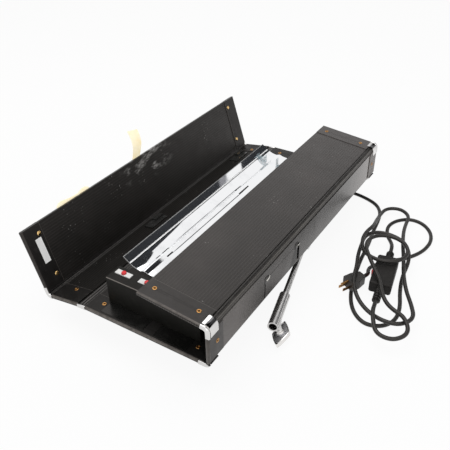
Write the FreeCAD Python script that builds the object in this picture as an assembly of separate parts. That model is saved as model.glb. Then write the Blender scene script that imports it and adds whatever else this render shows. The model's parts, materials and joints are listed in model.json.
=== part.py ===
import FreeCAD, Part
import math
import os

# Folding fluorescent light: a twin-wall plastic shell that closes like a case over a trough reflector.
# Millimetres. X runs across the light, Y along it, Z up; the origin is the middle of the housing's base.

# Shell
SHELL_LENGTH = 775.0
BACK_WIDTH = 298.4
WALL_HEIGHT = 90.2
SHEET = 6.0
SKIN = 0.9
RIB = 0.9
FLUTE_PITCH = 9.0
SHEET_MARGIN = 3.0
FOLD_RADIUS = 12.0
FOLD_STRIP = 4.0
LEAST_BOW = 0.01
DOOR_GAP = 2.4
DOOR_CLEARANCE = 0.3
BODY_GAP = 0.3
LEFT_WALL_OPEN = 98.8
LEFT_DOOR_OPEN = 8.5
RIGHT_DOOR_OPEN = 5.9

# End channels, fold clips and eyelets
CHANNEL_WALL = 1.5
CHANNEL_REACH = 46.0
CHANNEL_NOSE = 3.0
CLIP_LENGTH = 26.0
CLIP_WALL = 1.8
CLIP_NOSE = 1.5
FIT_GAP = 0.05
EYELET_BARREL = 5.0
EYELET_BORE = 3.4
EYELET_FLANGE = 9.5
EYELET_ROLL = 0.7
EYELET_FROM_END = 27.0
LEFT_EYELET_FROM_END = 37.0
EYELET_FROM_FOLD = 35.0
EYELET_FROM_EDGE = 20.0
BACK_EYELET_INSET = 40.0

# Plates, catches and tape on the shell
PLATE = 0.3
DOOR_LABEL_LENGTH = 54.0
DOOR_LABEL_WIDTH = 15.0
DOOR_LABEL_FROM_FOLD = 66.0
DOOR_LABEL_FROM_END = 22.5
PLATE_FROM_END = 8.0
LEFT_PLATE_LENGTH = 100.0
LEFT_PLATE_WIDTH = 30.0
LEFT_PLATE_OFFSET = -51.0
RIGHT_PLATE_LENGTH = 74.0
RIGHT_PLATE_WIDTH = 30.0
RIGHT_PLATE_OFFSET = 59.0
CATCH_LENGTH = 58.0
CATCH_WIDTH = 24.0
CATCH_HEIGHT = 7.0
CATCH_LIP = 2.5
CATCH_FROM_FOLD = 50.0
CATCH_NEAR_Y = -101.0
CATCH_FAR_FROM_END = 57.5
TAPE = 0.5
TAPE_EDGE_Y = -278.0
TAPE_EDGE_LENGTH = 83.0
TAPE_EDGE_RISE = 9.0
TAPE_STRIP_Y = -40.0
TAPE_STRIP_WIDTH = 27.0
TAPE_STRIP_RISE = 55.0
TAPE_STRIP_CURL = 90.0
TAPE_STUCK = 12.0

# Side panel set into the right wall
SIDE_CUT_NEAR_Y = -193.5
SIDE_CUT_LENGTH = 147.0
SIDE_CUT_TOP = 57.0
SIDE_SLOT = 9.0
SIDE_SEAM = 0.8
SIDE_CLIP = 0.8
SIDE_CLIP_WIDTH = 11.0
SIDE_CLIP_HEIGHT = 9.0

# Reflector and lamp holders
REFLECTOR_SHEET = 1.2
REFLECTOR_NEAR_Y = -298.0
REFLECTOR_LENGTH = 550.0
REFLECTOR_HALF = 104.6
REFLECTOR_RISE = 83.0
CREASE_HALF = 90.0
CREASE_RISE = 72.0
FLOOR_RISE = 63.0
TROUGH_DIP = 1.5
OUTER_TROUGH_DIP = 2.0
RIDGE_HALF = 9.0
RIDGE_RISE = 3.0
LAMP_PITCH = 55.0
SLOT_WIDTH = 3.0
INNER_SLOTS = ((-289.0, 24.0), (-235.0, 19.0), (40.0, 42.0))
OUTER_SLOTS = ((-251.0, 12.0), (-231.5, 22.0), (46.0, 27.0))
BRACKET_SHEET = 2.0
BRACKET_FOOT = 16.0
BRACKET_HALF = 84.0
BRACKET_FROM_END = 130.0
BRACKET_TAB = 14.0
REFLECTOR_RIVET_HEAD = 6.5
REFLECTOR_RIVET_SHANK = 3.2
REFLECTOR_RIVET_RISE = 1.2
BLOCK_SHEET = 1.5
BLOCK_HALF = 106.0
BLOCK_NEAR_Y = -349.0
BLOCK_DEPTH = 40.0
BLOCK_RISE = 67.0
HOLDER_LENGTH = 36.0
HOLDER_DEPTH = 12.0
HOLDER_DROP = 30.0
HOLDER_PROUD = 1.5
HOLDER_FROM_FRONT = 19.0
HOLDER_SHELF = 10.0
SOCKET_LENGTH = 30.0
SOCKET_HEIGHT = 8.0
SOCKET_DEPTH = 8.0
SOCKET_DROP = 9.0
BUTTON_FLATS = 9.0
BUTTON_PROUD = 3.0
BUTTON_DEEP = 5.0
BUTTON_TRAVEL = 2.0
BUTTON_PLAY = 0.3
CLEAR_CLIP_Y = 200.0
CLEAR_CLIP_WIDTH = 22.0
CLEAR_CLIP_WALL = 1.6
CLEAR_CLIP_TOP = 81.0
OUTER_CLIP_X = 80.0
OUTER_CLIP_RISE = 74.0
CLEAR_CLIP_DEPTH = 10.0

# Ballast housing and what it holds
HOUSING_LENGTH = 500.0
HOUSING_WIDTH = 160.0
HOUSING_HEIGHT = 60.0
HOUSING_SHEET = 1.5
HOUSING_FLANGE = 12.0
SCREW_SHANK = 4.0
SCREW_HEAD = 8.0
SCREW_HEAD_RISE = 2.4
SCREW_FROM_END = 30.0
BALLAST_LENGTH = 360.0
BALLAST_WIDTH = 62.0
BALLAST_HEIGHT = 36.0
BALLAST_SPACING = 72.0
BALLAST_Y = -30.0
BALLAST_FOOT = 10.0
BALLAST_WIRE = 5.0
BALLAST_WIRE_X = 20.0
TERMINAL_LENGTH = 60.0
TERMINAL_WIDTH = 22.0
TERMINAL_HEIGHT = 18.0
TERMINAL_Y = 195.0
TERMINAL_WAYS = 5
TERMINAL_WAY = 5.0
TERMINAL_WAY_DEPTH = 9.0
SUPPLY_WIRE = 7.0
HARNESS = 7.0
HARNESS_Y = -200.0
HARNESS_RISE = 31.0
HARNESS_BEND = 23.0
GROMMET_WALL = 2.0
GROMMET_LIP = 1.5
GLAND_X = 15.0
GLAND_Z = 14.0
GLAND_THREAD = 14.0
GLAND_NUT = 20.0
GLAND_NUT_DEPTH = 5.0
GLAND_BODY = 21.0
GLAND_BODY_DEPTH = 10.0
GLAND_CAP = 16.0
GLAND_CAP_DEPTH = 11.0

# Stand arm
ARM_SLEW = 13.65
ARM_PIVOT_X = 115.0
ARM_PIVOT_Y = 68.0
ARM_DROP = 16.0
MOUNT_PLATE = 4.0
MOUNT_PLATE_X = 40.0
MOUNT_PLATE_Y = 76.0
STUD = 12.0
SWIVEL_OUTER = 27.0
NUT_FLATS = 19.0
NUT_HEIGHT = 8.0
PIN_REACH = 26.0
PIN = 8.0
PIN_HEAD = 2.0
EAR = 6.0
EAR_RADIUS = 11.0
EYE = 10.0
EYE_RADIUS = 10.5
RUN_GAP = 0.05
ROD = 12.5
ROD_START = 13.0
TUBE_START = 204.5
TUBE_LENGTH = 99.0
TUBE_OUTER = 22.0
TUBE_BORE = 16.2
TUBE_END_WALL = 8.0
TUBE_CHAMFER = 5.0
LUG_FROM_MOUTH = 17.0
LUG_TILT = 23.0
LUG = 13.0
LUG_REACH = 21.0
WEB_LENGTH = 46.0
WEB = 5.0
LOCK_SCREW = 6.0
SCREW_TIP_GAP = 0.4
KNOB_REACH = 33.5
KNOB_LONG = 68.0
KNOB_SHORT = 36.0
KNOB_THICK = 9.0
KNOB_CORNER = 4.0
COLLAR_BASE = 17.0
COLLAR_TIP = 10.0

# Mains cord, switch box and plug
CORD = 8.5
CORD_LIFT = 0.35
CORD_LAYER = 9.6
CORD_BEND = 400.0
BOX_X = 304.0
BOX_Y = 56.0
BOX_TURN = -80.4
BOX_LENGTH = 104.0
BOX_WIDTH = 46.0
BOX_HEIGHT = 27.0
BOX_LIFT = 10.0
BOX_ROUND = 5.0
BOX_CORD_DEPTH = 6.0
RELIEF_BASE = 17.0
RELIEF_TIP = 12.0
LOWER_RELIEF = 40.0
UPPER_RELIEF = 25.0
RELIEF_RIBS = 5
RELIEF_RIB = 2.6
ROCKER_LENGTH = 34.0
ROCKER_HEIGHT = 14.0
ROCKER_X = 17.0
ROCKER_CREST = 2.2
ROCKER_DIP = 0.8
ROCKER_DEPTH = 5.0
ROCKER_PIVOT = 2.0
ROCKER_TILT = 6.0
ROCKER_GAP = 0.4
ROCKER_POCKET = 8.0
PLUG_X = 258.0
PLUG_Y = 8.0
PLUG_Z = 20.4
PLUG_TURN = -116.8
PLUG_LENGTH = 40.0
PLUG_WIDTH = 30.0
PLUG_HEIGHT = 22.0
PLUG_WAIST = 18.0
PLUG_CORD_DEPTH = 12.0
BLADE_LENGTH = 18.0
BLADE = 1.5
BLADE_HEIGHT = 6.35
BLADE_SPACING = 12.7
BLADE_DROP = 4.0
GROUND_PIN = 4.8
GROUND_RISE = 11.9
PRONG_ROOT = 8.0

# Cord routes on the floor: x, y and the layer a point lies in, counted up from the floor.
LEAD_TURN_Y = 292.0
LEAD_ROUTE = (
    (30, 335, 0.5),
    (68, 362, 0),
    (113, 366, 0),
    (148, 358, 0),
    (182, 343, 0),
    (204, 314, 0),
    (214, 272, 0),
    (219, 222, 0),
    (229, 166, 0),
    (234, 110, 0),
    (243, 54, 0),
    (256, -5, 0),
    (273, -48, 0),
    (295, -76, 0),
    (322, -90, 0),
    (352, -78, 0),
    (368, -48, 0),
    (364, -8, 0),
    (345, 45, 0),
    (335, 92, 0.3),
    (335, 126, 1.4),
    (327, 152, 2.5),
    (308, 174, 3.2),
    (286, 186, 3.1),
    (258, 191, 3),
    (233, 181, 3),
    (221, 154, 3),
    (227, 118, 3),
    (235, 78, 3.1),
    (249, 36, 3.4),
    (258, -6, 3.5),
    (274, -38, 3.2),
    (293, -59, 2.6),
    (318, -73, 2),
    (350, -83, 2),
    (383, -78, 2),
    (402, -46, 2),
    (385, -10, 2),
    (361, 28, 2),
    (339, 78, 2),
    (324, 125, 2),
    (304, 180, 1.9),
    (288, 232, 1.6),
    (280, 276, 1.2),
    (276, 318, 1),
    (246, 339, 1),
    (214, 322, 1),
    (213, 278, 1.2),
    (219, 234, 2.4),
    (228, 190, 4.15),
    (222, 155, 4.15),
    (226, 122, 4.15),
    (243, 82, 4.15),
    (283, 68, 4.1),
    (320, 85, 4.1),
    (333, 122, 4.1),
    (317, 156, 4.2),
    (283, 169, 4.3),
    (251, 154, 4.5),
    (239, 122, 4.85),
    (247, 88, 5.15),
    (264, 62, 5.15),
    (283, 38, 4.85),
    (311, 6, 4.2),
    (325, -24, 4),
    (342, -47, 3.8),
    (361, -58, 3.5),
    (388, -64, 3.2),
    (408, -96, 2.6),
    (388, -128, 2.4),
    (353, -129, 2.6),
    (336, -100, 3.4),
    (327, -75, 3.3),
)
LEAD_TURN_REACH = 107.0
TAIL_TURN_REACH = 102.0
TAIL_ROUTE = (
    (274, 194, 0.5),
    (253, 224, 0),
    (241, 262, 0),
    (252, 298, 0),
    (280, 321, 0),
    (312, 316, 0),
    (338, 290, 0),
    (350, 255, 0),
    (348, 218, 0),
    (338, 188, 0),
    (321, 160, 0),
    (300, 139, 0),
    (277, 113, 0),
    (264, 87, 0.2),
    (266, 64, 0.9),
)
PLUG_TURN_REACH = 18.0

V = FreeCAD.Vector
X_AXIS = V(1, 0, 0)
Y_AXIS = V(0, 1, 0)
Z_AXIS = V(0, 0, 1)
ORIGIN = V(0, 0, 0)

HALF_BACK = BACK_WIDTH / 2
HALF_LENGTH = SHELL_LENGTH / 2
BACK_Z = HOUSING_HEIGHT
DOOR_WIDTH = (BACK_WIDTH - DOOR_GAP) / 2
# A closing fold keeps the length of its outer skin, which sets where its pivot lies.
FOLD_PIVOT = FOLD_RADIUS * (1 - math.pi / 4)
# The left wall is one sheet taller, so that its door closes over the right one.
WALL_HEIGHTS = {1: WALL_HEIGHT, -1: WALL_HEIGHT + SHEET + DOOR_CLEARANCE}

os.makedirs("parts", exist_ok=True)


def export(name, *solids):
    """Write one node, a single solid or a group of like solids."""
    shape = solids[0] if len(solids) == 1 else Part.makeCompound(list(solids))
    shape.exportStep("parts/" + name + ".step")


def block(x0, x1, y0, y1, z0, z1):
    """Box between two corners."""
    return Part.makeBox(x1 - x0, y1 - y0, z1 - z0, V(x0, y0, z0))


def cylinder(start, axis, diameter, length):
    """Round bar from a point along an axis."""
    return Part.makeCylinder(diameter / 2, length, start, axis)


def prism(points, depth):
    """Flat outline of points, pushed along a vector."""
    return Part.Face(Part.makePolygon(list(points) + [points[0]])).extrude(depth)


def fused(*solids):
    """Pieces of one solid, joined and cleaned."""
    return solids[0].fuse(list(solids[1:])).removeSplitter()


def mirror_y(shape):
    """The like piece at the other end of the light."""
    return shape.mirror(ORIGIN, Y_AXIS)


# Fold geometry: a wall or door is drawn closed and then opened about its fold pivots.


def turn_about(shape, x, z, angle):
    """Copy of a shape, turned about a line along Y."""
    turned = shape.copy()
    turned.rotate(V(x, 0, z), Y_AXIS, angle)
    return turned


def wall_angle(side):
    """How far a wall is open, by the right-hand rule about Y."""
    return -LEFT_WALL_OPEN if side < 0 else 0.0


def door_angle(side):
    """How far a door is open from lying closed, by the same rule."""
    return -LEFT_DOOR_OPEN if side < 0 else RIGHT_DOOR_OPEN


def open_wall(shape, side):
    """Take a closed wall to its place at rest."""
    return turn_about(shape, side * (HALF_BACK - FOLD_PIVOT), BACK_Z + FOLD_PIVOT, wall_angle(side))


def open_door(shape, side):
    """Take a closed door to its place at rest, with the wall that carries it."""
    pivot_z = BACK_Z + WALL_HEIGHTS[side] - FOLD_PIVOT
    return open_wall(turn_about(shape, side * (HALF_BACK - FOLD_PIVOT), pivot_z, door_angle(side)), side)


def on_wall(shape, side):
    """Stand a flat-drawn piece up as part of a wall: its x is the height from the fold corner."""
    stood = shape.copy()
    stood.rotate(ORIGIN, Y_AXIS, -90 * side)
    stood.translate(V(side * HALF_BACK, 0, BACK_Z))
    return open_wall(stood, side)


def on_door(shape, side):
    """Lay a flat-drawn piece face down as part of a door: its x runs from the fold corner."""
    laid = shape.copy()
    laid.rotate(ORIGIN, Y_AXIS, 180)
    laid.translate(V(side * HALF_BACK, 0, BACK_Z + WALL_HEIGHTS[side]))
    return open_door(laid, side)


def on_back(shape):
    """Set a flat-drawn piece on the back panel: its x is already the light's own."""
    laid = shape.copy()
    laid.translate(V(0, 0, BACK_Z))
    return laid


# Twin-wall sheets with their flutes along Y, drawn flat with the outer face at z = 0.


def eyelet_hole(x, y):
    """Bore through a sheet and its end channel for one eyelet."""
    start = V(x, y, -CHANNEL_WALL - EYELET_ROLL)
    return cylinder(start, Z_AXIS, EYELET_BARREL + 2 * FIT_GAP, SHEET + 2 * (CHANNEL_WALL + EYELET_ROLL))


def eyelets_at(x_places, from_end=EYELET_FROM_END):
    """Where the eyelets of a panel sit: the same places at both ends."""
    eyelet_y = HALF_LENGTH - from_end
    return [(x, y) for x in x_places for y in (-eyelet_y, eyelet_y)]


def twin_wall(x0, x1, places):
    """Sheet of two skins joined by ribs, pierced for its eyelets."""
    end_y = HALF_LENGTH - CHANNEL_NOSE
    sheet = block(x0, x1, -end_y, end_y, 0, SHEET)
    room = x1 - x0 - 2 * SHEET_MARGIN
    count = int((room + RIB) / FLUTE_PITCH)
    first = (x0 + x1) / 2 - (count * FLUTE_PITCH - RIB) / 2
    flutes = []
    for i in range(count):
        left = first + i * FLUTE_PITCH
        flutes.append(block(left, left + FLUTE_PITCH - RIB, -end_y, end_y, SKIN, SHEET - SKIN))
    return sheet.cut(flutes + [eyelet_hole(*place) for place in places])


def end_channels(x0, x1, places):
    """Two U channels with round noses, pushed over the ends of a sheet."""
    nose = SHEET / 2 + CHANNEL_WALL
    inner_y = HALF_LENGTH - CHANNEL_REACH
    straight = block(x0, x1, inner_y, HALF_LENGTH - nose, -CHANNEL_WALL, SHEET + CHANNEL_WALL)
    round_end = cylinder(V(x0, HALF_LENGTH - nose, SHEET / 2), X_AXIS, 2 * nose, x1 - x0)
    slot = block(x0, x1, inner_y, HALF_LENGTH - CHANNEL_NOSE, 0, SHEET)
    channel = fused(straight, round_end).cut(slot)
    far = channel.cut([eyelet_hole(x, y) for x, y in places if y > 0])
    return far, mirror_y(far)


def eyelet(x, y, bore):
    """Brass eyelet rolled over both faces; a bore of 0 makes it a solid rivet."""
    face = SHEET + CHANNEL_WALL
    barrel = cylinder(V(x, y, -CHANNEL_WALL), Z_AXIS, EYELET_BARREL, face + CHANNEL_WALL)
    low = cylinder(V(x, y, -CHANNEL_WALL - EYELET_ROLL), Z_AXIS, EYELET_FLANGE, EYELET_ROLL)
    high = cylinder(V(x, y, face), Z_AXIS, EYELET_FLANGE, EYELET_ROLL)
    whole = fused(barrel, low, high)
    if bore == 0:
        return whole
    start = V(x, y, -CHANNEL_WALL - EYELET_ROLL)
    return whole.cut(cylinder(start, Z_AXIS, bore, face + CHANNEL_WALL + 2 * EYELET_ROLL))


def wall_span(side):
    """Height of a wall's flat sheet, from the fold corner below it."""
    return FOLD_RADIUS + BODY_GAP, WALL_HEIGHTS[side] - FOLD_RADIUS


# Back panel

back_edge = HALF_BACK - FOLD_RADIUS
back_eyelets = eyelets_at((-(HALF_BACK - BACK_EYELET_INSET), HALF_BACK - BACK_EYELET_INSET))
back_sheet = twin_wall(-back_edge, back_edge, back_eyelets)
back_channels = end_channels(-back_edge, back_edge, back_eyelets)
export("back_end_channels", *[on_back(piece) for piece in back_channels])
export("back_eyelets", *[on_back(eyelet(x, y, EYELET_BORE)) for x, y in back_eyelets])

# Walls and doors: drawn along +x from the fold corner, mirrored for the left side.

SIDE_EYELETS_FROM_END = {-1: LEFT_EYELET_FROM_END, 1: EYELET_FROM_END}


def flat_places(side, x_places):
    """Eyelet places on one side's wall or door."""
    return eyelets_at([side * x for x in x_places], SIDE_EYELETS_FROM_END[side])


def flat_sheet(side, near, far, x_places):
    """Sheet of one side's wall or door."""
    x0, x1 = sorted((side * near, side * far))
    return twin_wall(x0, x1, flat_places(side, x_places))


def flat_channels(side, near, far, x_places):
    """End channels of one side's wall or door."""
    x0, x1 = sorted((side * near, side * far))
    return end_channels(x0, x1, flat_places(side, x_places))


SIDE_NAMES = {-1: "left", 1: "right"}
DOOR_BORES = {-1: 0.0, 1: EYELET_BORE}
door_span = (FOLD_RADIUS + BODY_GAP, DOOR_WIDTH)
door_eyelets = (EYELET_FROM_FOLD, DOOR_WIDTH - EYELET_FROM_EDGE)
wall_sheets = {}
for side, name in SIDE_NAMES.items():
    span = wall_span(side)
    middle = (sum(span) / 2,)
    wall_sheets[side] = flat_sheet(side, *span, middle)
    export(name + "_wall_end_channels", *[on_wall(p, side) for p in flat_channels(side, *span, middle)])
    rings = [eyelet(x, y, EYELET_BORE) for x, y in flat_places(side, middle)]
    export(name + "_wall_eyelets", *[on_wall(ring, side) for ring in rings])
    export(name + "_door_panel", on_door(flat_sheet(side, *door_span, door_eyelets), side))
    channels = flat_channels(side, *door_span, door_eyelets)
    export(name + "_door_end_channels", *[on_door(channel, side) for channel in channels])
    rings = [eyelet(x, y, DOOR_BORES[side]) for x, y in flat_places(side, door_eyelets)]
    export(name + "_door_eyelets", *[on_door(ring, side) for ring in rings])
export("left_wall_panel", on_wall(wall_sheets[-1], -1))

# Right wall: a cut-out with a panel set into it, held by two bright clips.

cut_far_y = SIDE_CUT_NEAR_Y + SIDE_CUT_LENGTH
cut_low = wall_span(1)[0]
cut_out = block(cut_low, SIDE_CUT_TOP, SIDE_CUT_NEAR_Y, cut_far_y, 0, SHEET)
export("right_wall_panel", on_wall(wall_sheets[1].cut(cut_out), 1))
panel_far_y = cut_far_y - SIDE_SLOT
panel_high = SIDE_CUT_TOP - SIDE_SEAM
side_panel = block(cut_low, panel_high, SIDE_CUT_NEAR_Y + SIDE_SEAM, panel_far_y, 0, SHEET)
export("side_panel", on_wall(side_panel, 1))


def side_clip(y):
    """Bright strip bent over the seam between side panel and wall."""
    low = panel_high - SIDE_CLIP_HEIGHT
    high = SIDE_CUT_TOP + SIDE_CLIP_HEIGHT / 2
    return block(low, high, y, y + SIDE_CLIP_WIDTH, -SIDE_CLIP, 0)


side_clips = side_clip(SIDE_CUT_NEAR_Y + SIDE_SEAM), side_clip(panel_far_y - SIDE_CLIP_WIDTH)
export("side_clips", *[on_wall(clip, 1) for clip in side_clips])

# Flexible fold strips between the panels, and the chrome clips over their ends.


def turn_point(point, x, z, angle):
    """A point turned about a line along Y."""
    centre = V(x, 0, z)
    return centre + FreeCAD.Rotation(Y_AXIS, angle).multVec(point - centre)


def wall_point(side, s, t):
    """Point of a wall at rest: s from its lower corner, t in from its outer face."""
    closed = V(side * (HALF_BACK - t), 0, BACK_Z + s)
    return turn_point(closed, side * (HALF_BACK - FOLD_PIVOT), BACK_Z + FOLD_PIVOT, wall_angle(side))


def door_point(side, s, t):
    """Point of a door at rest: s from its fold corner, t in from its outer face."""
    height = BACK_Z + WALL_HEIGHTS[side]
    pivot_x = side * (HALF_BACK - FOLD_PIVOT)
    closed = V(side * (HALF_BACK - s), 0, height - t)
    ajar = turn_point(closed, pivot_x, height - FOLD_PIVOT, door_angle(side))
    return turn_point(ajar, pivot_x, BACK_Z + FOLD_PIVOT, wall_angle(side))


def back_point(side, s, t):
    """Point of the back panel: s in from its corner, t up from its underside."""
    return V(side * (HALF_BACK - s), 0, BACK_Z + t)


def bow(start, end, bulge, turn):
    """Arc between two points that turns by an angle, or a line where it hardly turns."""
    sag = (end - start).Length / 2 * math.tan(math.radians(turn) / 4)
    if abs(sag) < LEAST_BOW:
        return Part.makeLine(start, end)
    across = (end - start).cross(Y_AXIS).normalize()
    if across.dot(bulge) < 0:
        across = across * -1
    return Part.Arc(start, (start + end) / 2 + across * sag, end).toShape()


def fold_solid(side, is_door_fold, grow, y0, y1):
    """Fold strip, or the strip grown all round, between two places along Y."""
    inset = (SHEET - FOLD_STRIP) / 2 - grow
    if is_door_fold:
        parent = [wall_point(side, WALL_HEIGHTS[side] - FOLD_RADIUS, t) for t in (inset, SHEET - inset)]
        child = [door_point(side, FOLD_RADIUS, t) for t in (inset, SHEET - inset)]
        turn = 90 - abs(door_angle(side))
    else:
        parent = [back_point(side, FOLD_RADIUS, t) for t in (inset, SHEET - inset)]
        child = [wall_point(side, FOLD_RADIUS, t) for t in (inset, SHEET - inset)]
        turn = 90 - abs(wall_angle(side))
    bulge = parent[0] + child[0] - parent[1] - child[1]
    edges = [
        bow(parent[0], child[0], bulge, turn),
        Part.makeLine(child[0], child[1]),
        bow(child[1], parent[1], bulge, turn),
        Part.makeLine(parent[1], parent[0]),
    ]
    face = Part.Face(Part.Wire(edges))
    face.translate(V(0, y0, 0))
    return face.extrude(V(0, y1 - y0, 0))


strip_end = HALF_LENGTH - CLIP_NOSE - FIT_GAP
for side, name in SIDE_NAMES.items():
    for is_door_fold, part_name in ((False, "wall"), (True, "door")):
        strip = fold_solid(side, is_door_fold, 0, -strip_end, strip_end)
        export(name + "_" + part_name + "_fold", strip)
        clip_y = HALF_LENGTH - CLIP_LENGTH
        skin = fold_solid(side, is_door_fold, FIT_GAP + CLIP_WALL, clip_y, HALF_LENGTH)
        room = fold_solid(side, is_door_fold, FIT_GAP, clip_y, HALF_LENGTH - CLIP_NOSE)
        clip = skin.cut(room)
        export(name + "_" + part_name + "_fold_clips", clip, mirror_y(clip))

# Plates, catches and tape remnants on the shell.

plate_z = SHEET + CHANNEL_WALL
label_y = -HALF_LENGTH + DOOR_LABEL_FROM_END
label_x = -DOOR_LABEL_FROM_FOLD - DOOR_LABEL_LENGTH
label = block(
    label_x,
    label_x + DOOR_LABEL_LENGTH,
    label_y,
    label_y + DOOR_LABEL_WIDTH,
    plate_z,
    plate_z + PLATE,
)
export("door_label", on_door(label, -1))


def back_plate(offset, length, width):
    """Thin dark plate on the near end channel of the back panel."""
    near_y = -HALF_LENGTH + PLATE_FROM_END
    return block(offset - length / 2, offset + length / 2, near_y, near_y + width, plate_z, plate_z + PLATE)


left_plate = back_plate(LEFT_PLATE_OFFSET, LEFT_PLATE_LENGTH, LEFT_PLATE_WIDTH)
right_plate = back_plate(RIGHT_PLATE_OFFSET, RIGHT_PLATE_LENGTH, RIGHT_PLATE_WIDTH)
export("back_plates", on_back(left_plate), on_back(right_plate))


def catch(y):
    """Black catch on the inside of the left wall, with a raised lip along its outer half."""
    x0 = -CATCH_FROM_FOLD - CATCH_WIDTH
    x1 = -CATCH_FROM_FOLD
    base = block(x0, x1, y, y + CATCH_LENGTH, SHEET, SHEET + CATCH_LIP)
    lip_x = (x0 + x1) / 2
    lip = block(x0, lip_x, y + CATCH_LENGTH / 2, y + CATCH_LENGTH, SHEET + CATCH_LIP, SHEET + CATCH_HEIGHT)
    return fused(base, lip)


catch_far_y = HALF_LENGTH - CATCH_FAR_FROM_END - CATCH_LENGTH
export("wall_catches", *[on_wall(catch(y), -1) for y in (CATCH_NEAR_Y, catch_far_y)])


def tape_edge():
    """Torn tape along the door's free edge, stuck to its outer face."""
    edge = -DOOR_WIDTH
    far_y = TAPE_EDGE_Y + TAPE_EDGE_LENGTH
    outline = [
        V(edge + TAPE_STUCK, TAPE_EDGE_Y, -TAPE),
        V(edge - TAPE_EDGE_RISE * 0.6, TAPE_EDGE_Y + TAPE_EDGE_LENGTH * 0.05, -TAPE),
        V(edge - TAPE_EDGE_RISE, TAPE_EDGE_Y + TAPE_EDGE_LENGTH * 0.3, -TAPE),
        V(edge - TAPE_EDGE_RISE * 0.4, TAPE_EDGE_Y + TAPE_EDGE_LENGTH * 0.65, -TAPE),
        V(edge - TAPE_EDGE_RISE * 0.9, far_y, -TAPE),
        V(edge + TAPE_STUCK, far_y, -TAPE),
    ]
    return prism(outline, V(0, 0, TAPE))


def tape_strip():
    """Loose strip of tape that stands up from the door's free edge and curls."""
    edge = -DOOR_WIDTH
    curl = TAPE_STRIP_CURL
    half_turn = TAPE_STRIP_RISE / curl / 2
    tip = V(edge - curl * math.sin(2 * half_turn), 0, curl * (math.cos(2 * half_turn) - 1))
    middle = V(edge - curl * math.sin(half_turn), 0, curl * (math.cos(half_turn) - 1))
    foot = V(edge, 0, 0)
    stuck = V(edge + TAPE_STUCK, 0, 0)
    down = V(0, 0, -TAPE)
    edges = [
        Part.makeLine(stuck, foot),
        Part.Arc(foot, middle, tip).toShape(),
        Part.makeLine(tip, tip + down),
        Part.Arc(tip + down, middle + down, foot + down).toShape(),
        Part.makeLine(foot + down, stuck + down),
        Part.makeLine(stuck + down, stuck),
    ]
    face = Part.Face(Part.Wire(edges))
    face.translate(V(0, TAPE_STRIP_Y, 0))
    return face.extrude(V(0, TAPE_STRIP_WIDTH, 0))


export("door_tape", on_door(tape_edge(), -1), on_door(tape_strip(), -1))

# Reflector: two steep sides, a floor of shallow troughs under the lamps, and ridges between them.


def reflector_path(drop):
    """Line across the reflector from its left edge to its right one, lowered by a wall."""
    floor = BACK_Z + FLOOR_RISE - drop
    left = []
    edge = V(-REFLECTOR_HALF, 0, BACK_Z + REFLECTOR_RISE - drop)
    crease = V(-CREASE_HALF, 0, BACK_Z + CREASE_RISE - drop)
    outer_foot = V(-LAMP_PITCH - RIDGE_HALF, 0, floor)
    outer_ridge = V(-LAMP_PITCH, 0, floor + RIDGE_RISE)
    inner_foot = V(-LAMP_PITCH + RIDGE_HALF, 0, floor)
    middle_foot = V(-RIDGE_HALF, 0, floor)
    bend = (crease + outer_foot) / 2 - V(0, 0, OUTER_TROUGH_DIP)
    dip = (inner_foot + middle_foot) / 2 - V(0, 0, TROUGH_DIP)
    left.append(Part.makeLine(edge, crease))
    left.append(Part.Arc(crease, bend, outer_foot).toShape())
    left.append(Part.makeLine(outer_foot, outer_ridge))
    left.append(Part.makeLine(outer_ridge, inner_foot))
    left.append(Part.Arc(inner_foot, dip, middle_foot).toShape())
    left.append(Part.makeLine(middle_foot, V(0, 0, floor + RIDGE_RISE)))
    right = [piece.mirror(ORIGIN, X_AXIS) for piece in reversed(left)]
    return left + right


def reflector_slot(x, y, length):
    """Narrow slot through the reflector's floor."""
    return block(x - SLOT_WIDTH / 2, x + SLOT_WIDTH / 2, y, y + length, BACK_Z, BACK_Z + REFLECTOR_RISE)


top_path = reflector_path(0)
low_path = reflector_path(REFLECTOR_SHEET)
edge_top = V(REFLECTOR_HALF, 0, BACK_Z + REFLECTOR_RISE)
edge_low = edge_top - V(0, 0, REFLECTOR_SHEET)
left_top = V(-edge_top.x, 0, edge_top.z)
left_low = V(-edge_low.x, 0, edge_low.z)
ends = [Part.makeLine(edge_top, edge_low), Part.makeLine(left_low, left_top)]
profile = Part.Face(Part.Wire(Part.__sortEdges__(top_path + low_path + ends)))
profile.translate(V(0, REFLECTOR_NEAR_Y, 0))
reflector = profile.extrude(V(0, REFLECTOR_LENGTH, 0))
slots = []
for side in (-1, 1):
    inner_x = side * (LAMP_PITCH - RIDGE_HALF + SLOT_WIDTH / 2)
    outer_x = side * (LAMP_PITCH + RIDGE_HALF - SLOT_WIDTH / 2)
    slots += [reflector_slot(inner_x, y, length) for y, length in INNER_SLOTS]
    slots += [reflector_slot(outer_x, y, length) for y, length in OUTER_SLOTS]

# Brackets that carry the reflector over the back panel, riveted to the bottom of the inner troughs.

trough_x = LAMP_PITCH / 2
trough_z = BACK_Z + FLOOR_RISE - TROUGH_DIP
trough_under = trough_z - REFLECTOR_SHEET
bracket_near_y = REFLECTOR_NEAR_Y + BRACKET_FROM_END
bracket_far_y = REFLECTOR_NEAR_Y + REFLECTOR_LENGTH - BRACKET_FROM_END
bracket_places = [bracket_near_y, (bracket_near_y + bracket_far_y) / 2, bracket_far_y]
rivet_places = [(x, y) for y in bracket_places for x in (-trough_x, trough_x)]
rivet_holes = []
for x, y in rivet_places:
    rivet_holes.append(cylinder(V(x, y, BACK_Z), Z_AXIS, REFLECTOR_RIVET_SHANK + 2 * FIT_GAP, REFLECTOR_RISE))
reflector = reflector.cut(slots + rivet_holes)
export("reflector", reflector)


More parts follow.
